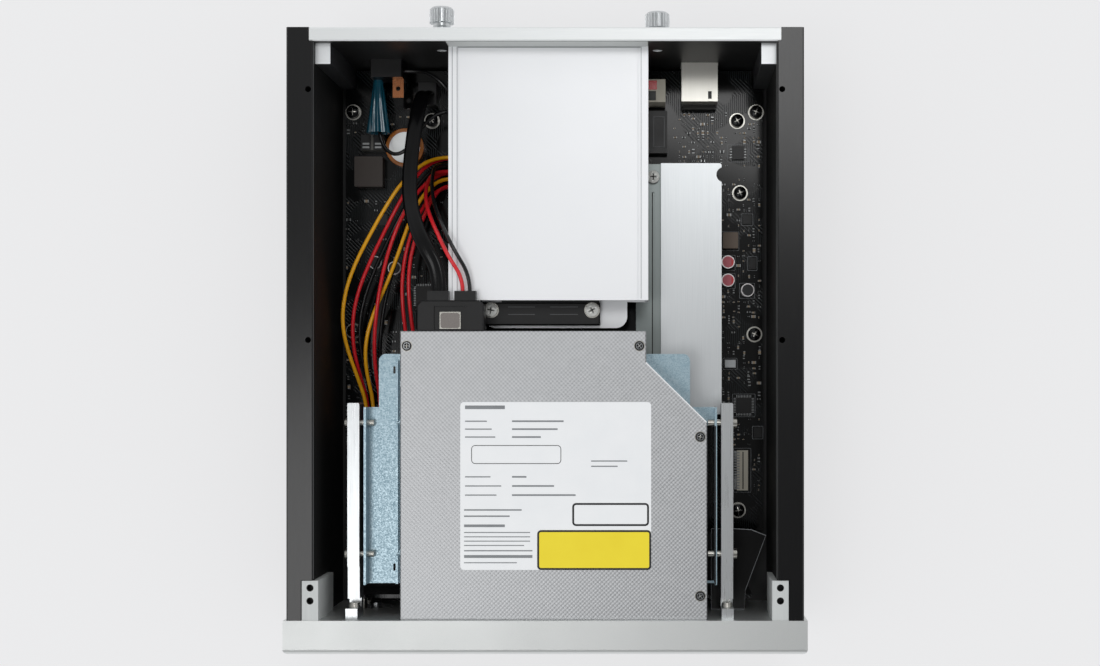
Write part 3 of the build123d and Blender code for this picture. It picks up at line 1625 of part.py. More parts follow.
inlet_tab_x = inlet_x + inlet_tab_x_share * inlet_width
with BuildPart() as inlet_tab:
    with BuildSketch(Plane.XY.offset(inlet_middle_z)):
        with Locations((inlet_tab_x, inlet_front_y - inlet_tab_length / 2)):
            Rectangle(inlet_tab_width, inlet_tab_length)
        with Locations((inlet_tab_x, inlet_front_y - inlet_tab_length / 2)):
            Circle(inlet_tab_hole_radius, mode=Mode.SUBTRACT)
    extrude(amount=inlet_tab_gauge)
write(inlet_tab, "inlet_tab")

# Insulating sleeve: a flared tube from the inlet's terminal towards the front
sleeve_x = inlet_x + sleeve_x_share * inlet_width
sleeve_z = inlet_middle_z - sleeve_rise
sleeve_mouth_y = inlet_front_y - sleeve_length
with BuildPart() as inlet_sleeve:
    with BuildSketch(Plane(origin=(sleeve_x, 0, sleeve_z), x_dir=(1, 0, 0), z_dir=(0, 0, 1))):
        with BuildLine():
            Polyline(
                (sleeve_small_radius - sleeve_wall, inlet_front_y),
                (sleeve_small_radius, inlet_front_y),
                (sleeve_large_radius, sleeve_mouth_y),
                (sleeve_large_radius - sleeve_wall, sleeve_mouth_y),
                close=True,
            )
        make_face()
    revolve(axis=Axis((sleeve_x, 0, sleeve_z), (0, 1, 0)))
write(inlet_sleeve, "inlet_sleeve")


def component_blocks(shares, top_round):
    """Rounded blocks on the board from rows of place and size shares."""
    with BuildPart() as blocks:
        for inset_share, y_share, width_share, depth_share, height_share in shares:
            with BuildSketch(Plane.XY.offset(board_top_z)):
                with Locations(spot(inset_share, y_share)):
                    Rectangle(width_share * component_size, depth_share * component_size)
            extrude(amount=height_share * component_size)
        if top_round:
            fillet(blocks.edges().filter_by(Axis.Z), top_round)
    return blocks


board_chokes = component_blocks(choke_shares, component_edge_round)
write(board_chokes, "board_chokes")
board_chips = component_blocks(chip_shares, 0)
write(board_chips, "board_chips")
black_connectors = component_blocks(black_connector_shares, 0)
write(black_connectors, "black_connectors")
white_sockets = component_blocks(white_socket_shares, 0)
write(white_sockets, "white_sockets")

with BuildPart() as board_capacitors:
    with BuildSketch(Plane.XY.offset(board_top_z)):
        with Locations(*(spot(*shares) for shares in capacitor_spot_shares)):
            Circle(capacitor_radius)
    extrude(amount=capacitor_height)
    with BuildSketch(Plane.XY.offset(board_top_z + capacitor_groove_height)):
        with Locations(*(spot(*shares) for shares in capacitor_spot_shares)):
            Circle(capacitor_radius)
            Circle(capacitor_radius - capacitor_groove, mode=Mode.SUBTRACT)
    extrude(amount=capacitor_groove, mode=Mode.SUBTRACT)
write(board_capacitors, "board_capacitors")

# Clock battery: a coin cell in a shrunk sleeve that leaves its face open
cell_spot = spot(*cell_spot_shares)
cell_z = board_top_z + cell_wrap_thickness
with BuildPart() as coin_cell:
    with BuildSketch(Plane.XY.offset(cell_z)):
        with Locations(cell_spot):
            Circle(cell_radius)
    extrude(amount=cell_height)
write(coin_cell, "coin_cell")

with BuildPart() as cell_wrap:
    with BuildSketch(Plane.XY.offset(board_top_z)):
        with Locations(cell_spot):
            Circle(cell_radius + cell_wrap_thickness)
    extrude(amount=cell_height + 2 * cell_wrap_thickness)
    fillet(cell_wrap.edges().group_by(Axis.Z)[-1], cell_wrap_thickness / 2)
    with BuildSketch(Plane.XY.offset(cell_z)):
        with Locations(cell_spot):
            Circle(cell_radius)
    extrude(amount=cell_height, mode=Mode.SUBTRACT)
    with BuildSketch(Plane.XY.offset(cell_z + cell_height)):
        with Locations(cell_spot):
            Circle(cell_window_radius)
    extrude(amount=cell_wrap_thickness, mode=Mode.SUBTRACT)
write(cell_wrap, "cell_wrap")

# Heat spreader: a stepped plate with a screwed strip, a groove along it and a round notch
spreader_z = spreader_top_z - spreader_gauge
spreader_strip_top_z = spreader_strip_z + spreader_gauge
with BuildPart() as heat_spreader:
    with BuildSketch(facing_front(spreader_rear_y)):
        with BuildLine():
            Polyline(
                (spreader_x - spreader_strip_width, spreader_strip_z),
                (spreader_x, spreader_strip_z),
                (spreader_x, spreader_z),
                (spreader_x + spreader_width, spreader_z),
                (spreader_x + spreader_width, spreader_top_z),
                (spreader_x - spreader_gauge, spreader_top_z),
                (spreader_x - spreader_gauge, spreader_strip_top_z),
                (spreader_x - spreader_strip_width, spreader_strip_top_z),
                close=True,
            )
        make_face()
    extrude(amount=spreader_rear_y - spreader_front_y)
    fillet(
        heat_spreader.edges().filter_by(Axis.Z).group_by(Axis.Y)[-1].sort_by(Axis.X)[-1],
        spreader_corner_round,
    )
    with BuildSketch(Plane.XY.offset(spreader_z)):
        with Locations(
            (
                spreader_x + spreader_width + spreader_notch_offset,
                spreader_rear_y - spreader_notch_setback,
            )
        ):
            Circle(spreader_notch_radius)
    extrude(amount=spreader_gauge, mode=Mode.SUBTRACT)
    with BuildSketch(Plane.XY.offset(spreader_strip_top_z)):
        groove_length = spreader_rear_y - spreader_front_y - 2 * spreader_groove_setback
        with Locations((spreader_screw_x, (spreader_rear_y + spreader_front_y) / 2)):
            Rectangle(spreader_groove_width, groove_length)
    extrude(amount=-spreader_groove_depth, mode=Mode.SUBTRACT)
    with BuildSketch(Plane.XY.offset(spreader_strip_z)):
        with Locations(*spreader_screw_spots):
            Circle(board_screw_radius + slip)
    extrude(amount=spreader_gauge, mode=Mode.SUBTRACT)
write(heat_spreader, "heat_spreader")

# Plug on the back of the disc drive: a moulded body with two cable boots and a latch clip
plug_middle_x = drive_x + plug_x
plug_z = drive_z + plug_rise
plug_top_z = plug_z + plug_height
plug_rear_y = drive_rear_y + plug_depth
boot_top_z = plug_top_z - boot_drop
clip_front_y = drive_rear_y + clip_setback
clip_z = plug_top_z - clip_gauge

with BuildPart() as sata_plug:
    block(
        (plug_middle_x - plug_width / 2, plug_middle_x + plug_width / 2),
        (drive_rear_y, plug_rear_y),
        (plug_z, plug_top_z),
    )
    chamfer(sata_plug.edges().filter_by(Axis.Z).group_by(Axis.Y)[-1], plug_chamfer)
    chamfer(sata_plug.faces().sort_by(Axis.Z)[-1].edges(), plug_edge_chamfer)
    for boot_shift in (boot_left_shift, boot_right_shift):
        boot_x = plug_middle_x + boot_shift
        block(
            (boot_x - boot_width / 2, boot_x + boot_width / 2),
            (plug_rear_y, plug_rear_y + boot_length),
            (boot_top_z - boot_height, boot_top_z),
        )
    block(
        (
            plug_middle_x - clip_width / 2 - clip_recess_margin,
            plug_middle_x + clip_width / 2 + clip_recess_margin,
        ),
        (clip_front_y - gap, clip_front_y + clip_length + clip_recess_margin),
        (clip_z, plug_top_z + overrun),
        Mode.SUBTRACT,
    )
write(sata_plug, "sata_plug")

with BuildPart() as plug_clip:
    block(
        (plug_middle_x - clip_width / 2, plug_middle_x + clip_width / 2),
        (clip_front_y, clip_front_y + clip_length),
        (clip_z, clip_z + clip_gauge),
    )
write(plug_clip, "plug_clip")

# Front circuit board with the switch behind the power button
front_board_y = back_y + front_board_stand
with BuildPart() as front_board:
    with BuildSketch(facing_front(front_board_y)):
        with Locations((0, front_board_z + front_board_height / 2)):
            Rectangle(front_board_width, front_board_height)
    extrude(amount=-board_thickness)
    with BuildSketch(facing_front(front_board_y)):
        with Locations((button_x, button_z)):
            Rectangle(switch_size, switch_size)
    extrude(amount=switch_height)
write(front_board, "front_board")

# Power button: a turned cap with a flange behind the panel's shoulder and a stem to the switch
button_face_y = front_y + button_recess
flange_front_y = front_y + button_shoulder + gap
stem_end_y = front_board_y - switch_height - button_travel - gap
with BuildPart() as power_button:
    with BuildSketch(facing_front(flange_front_y)):
        with Locations((button_x, button_z)):
            Circle(button_radius)
    extrude(amount=flange_front_y - button_face_y)
    chamfer(power_button.faces().sort_by(Axis.Y)[0].edges(), button_dish)
    with BuildSketch(facing_front(flange_front_y)):
        with Locations((button_x, button_z)):
            Circle(button_radius + button_flange)
    extrude(amount=-button_flange_thickness)
    with BuildSketch(facing_front(stem_end_y)):
        with Locations((button_x, button_z)):
            Circle(button_stem_radius)
    extrude(amount=stem_end_y - flange_front_y)
write(power_button, "power_button")


def corner_radii(route):
    """Bend at each inner point of a route, as large as the shorter of its two runs allows."""
    points = [Vector(*point) for point in route]
    radii = []
    for before, here, after in zip(points, points[1:], points[2:]):
        run_in = here - before
        run_out = after - here
        turn = math.radians(run_in.get_angle(run_out))
        radii.append(bend_share * min(run_in.length, run_out.length) / math.tan(turn / 2))
    return radii


def report_cord(name, radii, solid, section_area, length):
    """Print a cord's tightest bend and its volume against its section times its length."""
    share = solid.volume / (section_area * length)
    print(f"{name}: tightest bend {min(radii):.1f} mm, length {length:.1f} mm, volume share {share:.4f}")


def wire_bundle(name, routes):
    """Round wires along their routes, each of straight runs joined by tangent arcs."""
    with BuildPart() as bundle:
        for route in routes:
            radii = corner_radii(route)
            with BuildLine() as path:
                FilletPolyline(*route, radius=radii)
            route_wire = path.wires()[0]
            with BuildSketch(Plane(origin=route_wire @ 0, z_dir=route_wire % 0)) as section:
                Circle(wire_diameter / 2)
            wire = sweep(path=route_wire)
            report_cord(name, radii, wire, section.sketch.area, route_wire.length)
    return bundle


# Wires from the board's power connector, by colour, and the two wires of the inlet
write(wire_bundle("yellow_wires", yellow_routes), "yellow_wires")
write(wire_bundle("red_wires", red_routes), "red_wires")
write(wire_bundle("black_wires", black_routes), "black_wires")

# Flat data cable, its width kept level along X
with BuildPart() as data_cable:
    cable_radii = corner_radii(data_cable_route)
    with BuildLine() as cable_path:
        FilletPolyline(*data_cable_route, radius=cable_radii)
    cable_wire = cable_path.wires()[0]
    cable_plane = Plane(origin=cable_wire @ 0, x_dir=(1, 0, 0), z_dir=cable_wire % 0)
    with BuildSketch(cable_plane) as cable_section:
        RectangleRounded(data_cable_width, data_cable_thickness, data_cable_thickness * bend_share)
    cable = sweep(path=cable_wire)
    report_cord("data_cable", cable_radii, cable, cable_section.sketch.area, cable_wire.length)
write(data_cable, "data_cable")
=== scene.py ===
"""Looks of a compact music server with its cover off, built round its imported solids.

Lengths are in millimetres unless a name says otherwise, and MM turns them to metres.
"""
from __future__ import annotations

import logging
import math
from dataclasses import dataclass, field
from enum import Enum
from typing import Any, Mapping, Sequence

import bpy
import numpy as np
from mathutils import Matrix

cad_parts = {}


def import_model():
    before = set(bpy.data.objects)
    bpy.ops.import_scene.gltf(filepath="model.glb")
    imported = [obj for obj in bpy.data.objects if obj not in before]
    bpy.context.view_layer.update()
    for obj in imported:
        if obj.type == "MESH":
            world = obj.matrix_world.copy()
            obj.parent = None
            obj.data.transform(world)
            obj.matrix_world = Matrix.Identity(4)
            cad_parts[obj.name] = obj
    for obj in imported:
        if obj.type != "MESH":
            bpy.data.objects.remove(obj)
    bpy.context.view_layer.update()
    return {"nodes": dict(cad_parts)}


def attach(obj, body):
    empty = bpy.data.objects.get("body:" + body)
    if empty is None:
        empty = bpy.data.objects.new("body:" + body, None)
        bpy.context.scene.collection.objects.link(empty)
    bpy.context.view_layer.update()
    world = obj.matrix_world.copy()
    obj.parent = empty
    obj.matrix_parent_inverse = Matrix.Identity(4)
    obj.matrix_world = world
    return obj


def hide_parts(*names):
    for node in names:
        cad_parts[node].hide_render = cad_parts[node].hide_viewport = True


LOG = logging.getLogger("music_server")
MM = 0.001
SHARP_ANGLE = math.radians(40)
BOARD_TOP = 15.6
DRIVE_TOP = 69.0
Spot = tuple[float, float]
Point = tuple[float, float, float]
Box = tuple[float, float, float, float]
Mesh = tuple[np.ndarray, list[list[int]]]
Tree = bpy.types.NodeTree
Socket = bpy.types.NodeSocket
COVER_SCREWS: tuple[Spot, ...] = ((-57.9, -8.2), (39.1, -8.2), (64.5, -46.1), (64.5, -112.5))


def linear(code: str) -> tuple[float, float, float, float]:
    """Turns an sRGB hex colour to linear light.

    Args:
        code: colour such as "#c0c4c8".

    Returns:
        Red, green, blue and alpha, from 0 to 1.
    """
    parts = np.array([int(code[i : i + 2], 16) for i in (1, 3, 5)]) / 255
    light = np.where(parts <= 0.04045, parts / 12.92, ((parts + 0.055) / 1.055) ** 2.4)
    return (*light.tolist(), 1.0)


def add(tree: Tree, kind: str, inputs: Mapping[Any, Any] | None = None, **settings: Any) -> bpy.types.Node:
    """Adds one node, with its settings, its input values and its links.

    Args:
        tree: node tree that gets the node.
        kind: the node's type name after "ShaderNode".
        inputs: for each input, a value or the socket that feeds it.
        settings: properties of the node itself.

    Returns:
        The new node.
    """
    made = tree.nodes.new("ShaderNode" + kind)
    for key, value in settings.items():
        setattr(made, key, value)
    for key, value in (inputs or {}).items():
        if isinstance(value, Socket):
            tree.links.new(value, made.inputs[key])
        else:
            made.inputs[key].default_value = value
    return made


def calc(tree: Tree, operation: str, *values: Any, clamp: bool = False) -> Socket:
    """Adds one math node.

    Args:
        tree: node tree that gets the node.
        operation: what the node works out.
        values: its inputs in order, each a number or a socket.
        clamp: whether the result is kept from 0 to 1.

    Returns:
        The socket with the result.
    """
    return add(tree, "Math", dict(enumerate(values)), operation=operation, use_clamp=clamp).outputs[0]


def ramp(tree: Tree, value: Socket, span: Sequence[float], levels: Sequence[Any] = (0.0, 1.0)) -> Socket:
    """Adds one node that takes a span of values to the span between two levels.

    Args:
        tree: node tree that gets the node.
        value: the socket that feeds it.
        span: values that give the first and the last level.
        levels: first and last level, each a number or a socket.

    Returns:
        The socket with the result.
    """
    ends = dict(zip(("From Min", "From Max", "To Min", "To Max"), (*span, *levels)))
    return add(tree, "MapRange", {"Value": value, **ends}).outputs[0]


class Pattern(Enum):
    """Ways a surface was made, which set the grain that the eye sees."""

    BLASTED = "blasted"
    BRUSHED = "brushed"
    MOULDED = "moulded"
    EMBOSSED = "embossed"
    SPANGLED = "spangled"
    LAMINATE = "laminate"
    DRAWN = "drawn"


COAT_ROUGHNESS = 0.12
LEAST_ROUGHNESS = 0.02
# Sizes of the slower marks of each pattern, in grains.
BLASTED_CLOUD = 90
MOULDED_CLOUD = 30
DRAWN_CLOUD = 12
DOT_CLOUD = 1.7
SPANGLE_PITS = 0.5
TRACK_PATCH = 9
TRACK_CLOUD = 14
# Share of the cloud in the tone of the embossed dots, and scale along a brushed streak.
DOT_CLOUD_SHARE = 0.3
STREAK_SCALE = 0.015
# Scale that sets the wave node's bands one grain apart, and where tracks and their patches begin and end.
WAVE_STEP = 0.314
TRACK_EDGES = (0.55, 0.75)
PATCH_EDGES = (0.47, 0.53)
PATCH_MIDDLE = 0.5


@dataclass(frozen=True)
class Finish:
    """One real material with its colours, its gloss and the grain of how it was made."""

    name: str
    slot: str
    colour: str
    shade: str
    pattern: Pattern
    metallic: float = 0.0
    roughness: float = 0.5
    spread: float = 0.08
    grain: float = 0.4
    relief: float = 0.01
    along: int = 1
    ior: float = 1.5
    coat: float = 0.0
    low_colour: str = ""
    low_roughness: float = 0.0
    low_axis: int = 2
    level: float = 0.0

    def material(self) -> bpy.types.Material:
        """Gives the finish's material, made on its first use."""
        return bpy.data.materials.get(self.name) or self._build()

    def _build(self) -> bpy.types.Material:
        """Builds colour, roughness and relief from the pattern's mask and height.

        Returns:
            The new material.
        """
        material = bpy.data.materials.new(self.name)
        material.use_nodes = True
        tree = material.node_tree
        shader = tree.nodes["Principled BSDF"]
        shader.inputs["Metallic"].default_value = self.metallic
        if not self.metallic:
            shader.inputs["IOR"].default_value = self.ior
        if self.coat:
            shader.inputs["Coat Weight"].default_value = self.coat
            shader.inputs["Coat Roughness"].default_value = COAT_ROUGHNESS
        where = add(tree, "TexCoord").outputs["Object"]
        mask, height = getattr(self, "_" + self.pattern.value)(tree, where)
        tones = {"Factor": mask, "A": linear(self.colour), "B": linear(self.shade)}
        colour = add(tree, "Mix", tones, data_type="RGBA").outputs["Result"]
        limits = (max(self.roughness - self.spread, LEAST_ROUGHNESS), min(self.roughness + self.spread, 1.0))
        rough = ramp(tree, mask, (0.0, 1.0), limits)
        if self.low_colour:
            split = add(tree, "SeparateXYZ", {0: where})
            above = calc(tree, "GREATER_THAN", split.outputs[self.low_axis], self.level * MM)
            tones = {"Factor": above, "A": linear(self.low_colour), "B": colour}
            colour = add(tree, "Mix", tones, data_type="RGBA").outputs["Result"]
            if self.low_roughness:
                rough = add(tree, "Mix", {"Factor": above, "A": self.low_roughness, "B": rough}).outputs["Result"]
        bump = add(tree, "Bump", {"Height": height, "Distance": self.relief * MM}).outputs[0]
        for socket, name in ((colour, "Base Color"), (rough, "Roughness"), (bump, "Normal")):
            tree.links.new(socket, shader.inputs[name])
        return material

    def _noise(self, tree: Tree, where: Socket, grains: float = 1.0, detail: float = 2.0) -> Socket:
        """Cloudy noise whose blotches are about so many grains wide."""
        scale = 1 / (self.grain * grains * MM)
        return add(tree, "TexNoise", {"Vector": where, "Scale": scale, "Detail": detail}).outputs[0]

    def _blasted(self, tree: Tree, where: Socket) -> tuple[Socket, Socket]:
        """Even pits of the blasting grit, over slow changes of tone."""
        fine = self._noise(tree, where, detail=3.0)
        return calc(tree, "MULTIPLY", fine, self._noise(tree, where, BLASTED_CLOUD)), fine

    def _brushed(self, tree: Tree, where: Socket) -> tuple[Socket, Socket]:
        """Streaks one grain wide that run along one axis."""
        stretch = [1.0, 1.0, 1.0]
        stretch[self.along] = STREAK_SCALE
        drawn = add(tree, "Mapping", {"Vector": where, "Scale": stretch}).outputs[0]
        streak = self._noise(tree, drawn, detail=4.0)
        return streak, streak

    def _moulded(self, tree: Tree, where: Socket) -> tuple[Socket, Socket]:
        """Spark-eroded mould grain, with a faint change of tone from flow."""
        return self._noise(tree, where, MOULDED_CLOUD), self._noise(tree, where)

    def _embossed(self, tree: Tree, where: Socket) -> tuple[Socket, Socket]:
        """Staggered grid of pressed dots: sine of X times sine of Y."""
        split = add(tree, "SeparateXYZ", {0: where})
        rate = 2 * math.pi / (self.grain * MM)
        waves = [calc(tree, "SINE", calc(tree, "MULTIPLY", split.outputs[axis], rate)) for axis in ("X", "Y")]
        raised = ramp(tree, calc(tree, "MULTIPLY", *waves), (-1.0, 1.0))
        cloud = self._noise(tree, where, DOT_CLOUD, 3.0)
        # The dots' height also sets their tone: painted light on the tops, painted shade between them.
        return add(tree, "Mix", {"Factor": DOT_CLOUD_SHARE, "A": raised, "B": cloud}).outputs[0], raised

    def _spangled(self, tree: Tree, where: Socket) -> tuple[Socket, Socket]:
        """Crystals of a zinc coat, each with a tone of its own."""
        cells = add(tree, "TexVoronoi", {"Vector": where, "Scale": 1 / (self.grain * MM)})
        tone = add(tree, "SeparateColor", {0: cells.outputs["Color"]}).outputs[0]
        return tone, self._noise(tree, where, SPANGLE_PITS)

    def _laminate(self, tree: Tree, where: Socket) -> tuple[Socket, Socket]:
        """Solder mask over copper: bundles of parallel tracks, kept to patches by a cloud."""
        bands = {"Vector": where, "Scale": WAVE_STEP / (self.grain * MM)}
        slanted, upright = (
            add(tree, "TexWave", bands, bands_direction=way).outputs["Fac"] for way in ("DIAGONAL", "X")
        )
        choice = calc(tree, "GREATER_THAN", self._noise(tree, where, TRACK_PATCH, 0.0), PATCH_MIDDLE)
        lines = add(tree, "Mix", {"Factor": choice, "A": slanted, "B": upright}).outputs[0]
        cloud = self._noise(tree, where, TRACK_CLOUD, 1.0)
        mask = calc(tree, "MULTIPLY", ramp(tree, lines, TRACK_EDGES), ramp(tree, cloud, PATCH_EDGES))
        return mask, mask

    def _drawn(self, tree: Tree, where: Socket) -> tuple[Socket, Socket]:
        """Nearly smooth drawn, plated or extruded skin with a slow change of tone."""
        return self._noise(tree, where, DRAWN_CLOUD), self._noise(tree, where)


# Each finish names its material, its slot, two tones and a pattern. The numbers that follow are metallic,
# roughness and how far it spreads, the grain and the relief in millimetres, and the axis of the streaks.

# Blasted and clear anodised aluminium: an even, pale, silky face with no streaks.
SATIN_FRONT = Finish(
    "anodised_blasted_aluminium", "satin_front", "#e9ebea", "#d8dbda", Pattern.BLASTED, 1.0, 0.48, 0.06, 0.35, 0.012
)
# Painted moulding matched to the panel: the same tone, a little glossier.
PAINTED_TRIM = Finish(
    "painted_silver_abs", "bezel_moulding", "#dcdedd", "#cfd1d0", Pattern.MOULDED, 0.6, 0.4, 0.05, 0.25, 0.008
)
# Black anodised extrusion: the sawn and brushed top has a sheen, the blasted walls have none.
BLACK_SIDE = Finish(
    "black_anodised_extrusion", "black_side", "#070708", "#0c0c0d", Pattern.BRUSHED, 0.0, 0.2, 0.04, 0.25, 0.004,
    low_colour="#080808", low_roughness=0.62, level=71.9,
)
# Bright satin aluminium plate: nearly white from above, its inner face darkened with painted shade.
SILVER_REAR = Finish(
    "satin_aluminium_plate", "silver_rear", "#f4f6f6", "#e9ecec", Pattern.BRUSHED, 0.6, 0.42, 0.06, 0.2, 0.006, 0,
    low_colour="#2f2f30", low_roughness=0.45, low_axis=1, level=118.4,
)
# Satin black powder coat: fine orange peel.
BLACK_FLOOR = Finish(
    "black_powder_coat", "black_floor", "#141415", "#1d1d1e", Pattern.MOULDED, 0.0, 0.5, 0.08, 0.6, 0.02
)
# Milled and drawn aluminium bar: bright with fine streaks along its length.
MILLED_BAR = Finish(
    "milled_aluminium", "turned_silver", "#dadcdd", "#bfc3c5", Pattern.BRUSHED, 1.0, 0.3, 0.1, 0.3, 0.01
)
# Sawn aluminium of the corner posts: pale and even on the cut top, painted shade in dark grey on the sides.
SAWN_POST = Finish(
    "sawn_aluminium", "turned_silver", "#f6f8f9", "#e9ecee", Pattern.BRUSHED, 0.5, 0.4, 0.06, 0.3, 0.004, 2,
    low_colour="#48494b", low_roughness=0.4, level=67.4,
)
# Nickel-plated steel screws, black-passivated where they hold the boards down.
PLATED_SCREW = Finish(
    "nickel_plated_steel", "plated_steel", "#d9dbdc", "#b4b8ba", Pattern.DRAWN, 1.0, 0.22, 0.06, 0.3, 0.004,
    low_colour="#3a3b3d", level=25.0,
)
# Bright nickel plate on pressed sheet, screws and standoffs: warm and nearly smooth.
BRIGHT_PLATE = Finish(
    "bright_nickel_plate", "plated_steel", "#cccac3", "#bebcb5", Pattern.DRAWN, 1.0, 0.28, 0.05, 0.6, 0.001
)
# Zinc-plated and blue-passivated sheet: pale blue with a fine crystal sparkle.
ZINC_SHEET = Finish(
    "blue_zinc_sheet", "zinc_sheet", "#b6cad3", "#92adba", Pattern.SPANGLED, 0.8, 0.38, 0.08, 0.45, 0.008
)
# Pressed galvanised sheet with embossed dots; the dots stand 1.3 mm apart so that they show. Their tops get painted
# light and the hollows between them painted shade.
DRIVE_SHEET = Finish(
    "embossed_galvanised_sheet", "drive_sheet", "#a7a9ab", "#d6d7d9", Pattern.EMBOSSED, 0.85, 0.4, 0.08, 1.8, 0.05
)
# Satin anodised sheet of the bay: near white, almost no grain.
BAY_SHEET = Finish(
    "pale_anodised_sheet", "bay_sheet", "#f6f7f9", "#f0f2f4", Pattern.BLASTED, 0.5, 0.42, 0.04, 0.3, 0.004
)
# Brushed aluminium spreader: fine lines along its length, its lower strip darkened with painted shade.
BRUSHED_PLATE = Finish(
    "brushed_aluminium", "spreader", "#e0e3e5", "#d2d6d8", Pattern.BRUSHED, 1.0, 0.33, 0.03, 0.35, 0.0012,
    low_colour="#8d9493", low_roughness=0.34, level=33.0,
)
# Cast and milled aluminium of the storage drive and the sled: an even mid grey.
CAST_CASE = Finish(
    "cast_aluminium", "drive_case", "#aeb1b3", "#9a9d9f", Pattern.BLASTED, 1.0, 0.45, 0.08, 0.6, 0.02
)
# Black solder mask over copper tracks, glossy where the mask is thick.
SOLDER_MASK = Finish(
    "black_solder_mask", "board", "#040505", "#191e20", Pattern.LAMINATE, 0.0, 0.16, 0.05, 0.9, 0.02, ior=1.4
)
# Black glass-filled nylon: dark, slightly uneven sheen.
BLACK_NYLON = Finish(
    "black_nylon", "black_moulding", "#0b0b0c", "#141415", Pattern.MOULDED, 0.0, 0.34, 0.08, 0.3, 0.012, ior=1.45
)
# Dark grey styrene of the disc tray with a fine mould grain.
TRAY_STYRENE = Finish(
    "dark_styrene", "tray_moulding", "#242528", "#2c2d30", Pattern.MOULDED, 0.0, 0.5, 0.08, 0.4, 0.02
)
# Ivory nylon of the pale connectors, darkened to smoke grey with painted shade on the left of the board.
IVORY_NYLON = Finish(
    "ivory_nylon", "pale_moulding", "#d4cfc0", "#c2bcab", Pattern.MOULDED, 0.0, 0.45, 0.08, 0.4, 0.012,
    low_colour="#5a5853", low_axis=0, level=0.0,
)
# Pressed iron powder of the chokes: warm grey and dull, darkened nearly to black with painted shade on the left of
# the board.
IRON_POWDER = Finish(
    "pressed_iron_powder", "choke_case", "#6a5c50", "#7c6d60", Pattern.BLASTED, 0.0, 0.6, 0.08, 0.25, 0.02,
    low_colour="#3d3530", low_axis=0, level=0.0,
)
# Drawn aluminium can: bright and smooth.
DRAWN_CAN = Finish("drawn_aluminium_can", "can", "#d5d2d2", "#c3c0c0", Pattern.DRAWN, 1.0, 0.3, 0.06, 0.3, 0.006)
# Stainless face of the clock cell, dull from handling.
CELL_FACE = Finish("stainless_cell", "cell", "#f2f4f4", "#d2d5d5", Pattern.BLASTED, 0.8, 0.4, 0.1, 0.5, 0.01)
# Orange shrink film, shiny and slightly uneven.
ORANGE_FILM = Finish(
    "orange_shrink_film", "orange_wrap", "#b46a1b", "#94510f", Pattern.DRAWN, 0.0, 0.24, 0.06, 0.8, 0.03, coat=0.4
)
# Teal vinyl sleeve, glossy with soft pleats.
TEAL_VINYL = Finish(
    "teal_vinyl", "blue_sleeve", "#17586c", "#0a3543", Pattern.DRAWN, 0.0, 0.1, 0.04, 0.8, 0.03, ior=1.75, coat=1.0
)
# Bare copper strip: warm, with fine streaks.
BARE_COPPER = Finish("bare_copper", "copper", "#b87a55", "#96603f", Pattern.BRUSHED, 1.0, 0.28, 0.08, 0.2, 0.006)
# Moulded black rubber: matt, with hardly a highlight.
RUBBER = Finish("black_rubber", "pad_rubber", "#121212", "#1b1b1b", Pattern.MOULDED, 0.0, 0.75, 0.06, 0.3, 0.02)
# Extruded vinyl insulation in the wires' colours: clean colour with a soft highlight.
YELLOW_VINYL = Finish(
    "yellow_vinyl", "yellow_insulation", "#f3b01c", "#e3a014", Pattern.DRAWN, 0.0, 0.24, 0.04, 0.5, 0.006, ior=1.55
)
RED_VINYL = Finish(
    "red_vinyl", "red_insulation", "#de2730", "#c81a24", Pattern.DRAWN, 0.0, 0.24, 0.04, 0.5, 0.006, ior=1.55
)
BLACK_VINYL = Finish(
    "black_vinyl", "black_insulation", "#0d0d0e", "#161618", Pattern.DRAWN, 0.0, 0.24, 0.04, 0.5, 0.006, ior=1.55
)
# Jacket of the flat cable: deep black with a narrow light along each rib.
CABLE_VINYL = Finish(
    "cable_jacket_vinyl", "black_insulation", "#050506", "#09090a", Pattern.DRAWN, 0.0, 0.2, 0.04, 0.5, 0.004,
    ior=1.32,
)
# Coated glass of the lens: dark violet blue and mirror smooth.
COATED_GLASS = Finish(
    "coated_lens_glass", "black_moulding", "#1b2147", "#2a1f4d", Pattern.DRAWN, 0.0, 0.06, 0.02, 0.8, 0.001,
    ior=1.6, coat=1.0,
)
# Tumbled aluminium of the front brackets: dull, even and without a glare.
TUMBLED_BRACKET = Finish(
    "tumbled_aluminium", "turned_silver", "#d3d6d5", "#c3c6c5", Pattern.BRUSHED, 0.2, 0.55, 0.06, 0.3, 0.004
)
# Tinned steel can of the network jack: pale, faintly brushed, with a soft sheen.
TINNED_CAN = Finish(
    "tinned_steel_can", "plated_steel", "#fdfbf3", "#f4f2e9", Pattern.BRUSHED, 0.9, 0.36, 0.04, 0.4, 0.001, 1
)
# Tinned copper lands and leads: bright solder.
TINNED = Finish("tinned_copper", "plated_steel", "#a9abab", "#8d8f90", Pattern.DRAWN, 1.0, 0.3, 0.08, 0.3, 0.008)
# Fired ceramic of the small capacitors: dull tan.
TAN_CERAMIC = Finish("tan_ceramic", "pale_moulding", "#8d7a62", "#a08d74", Pattern.MOULDED, 0.0, 0.5, 0.1, 0.2, 0.008)
# White gloss paper of the sticker, with plain inks on it.
LABEL_PAPER = Finish("gloss_paper", "bay_sheet", "#f3f4f5", "#eceef0", Pattern.MOULDED, 0.0, 0.4, 0.05, 0.3, 0.004)
GREY_INK = Finish("grey_ink", "black_moulding", "#8b8e91", "#7b7e81", Pattern.MOULDED, 0.0, 0.5, 0.05, 0.3, 0.002)
BLACK_INK = Finish("black_ink", "black_moulding", "#17181a", "#202124", Pattern.MOULDED, 0.0, 0.5, 0.05, 0.3, 0.002)
YELLOW_INK = Finish(
    "yellow_ink", "yellow_insulation", "#f5e01c", "#eed612", Pattern.MOULDED, 0.0, 0.45, 0.05, 0.3, 0.002
)
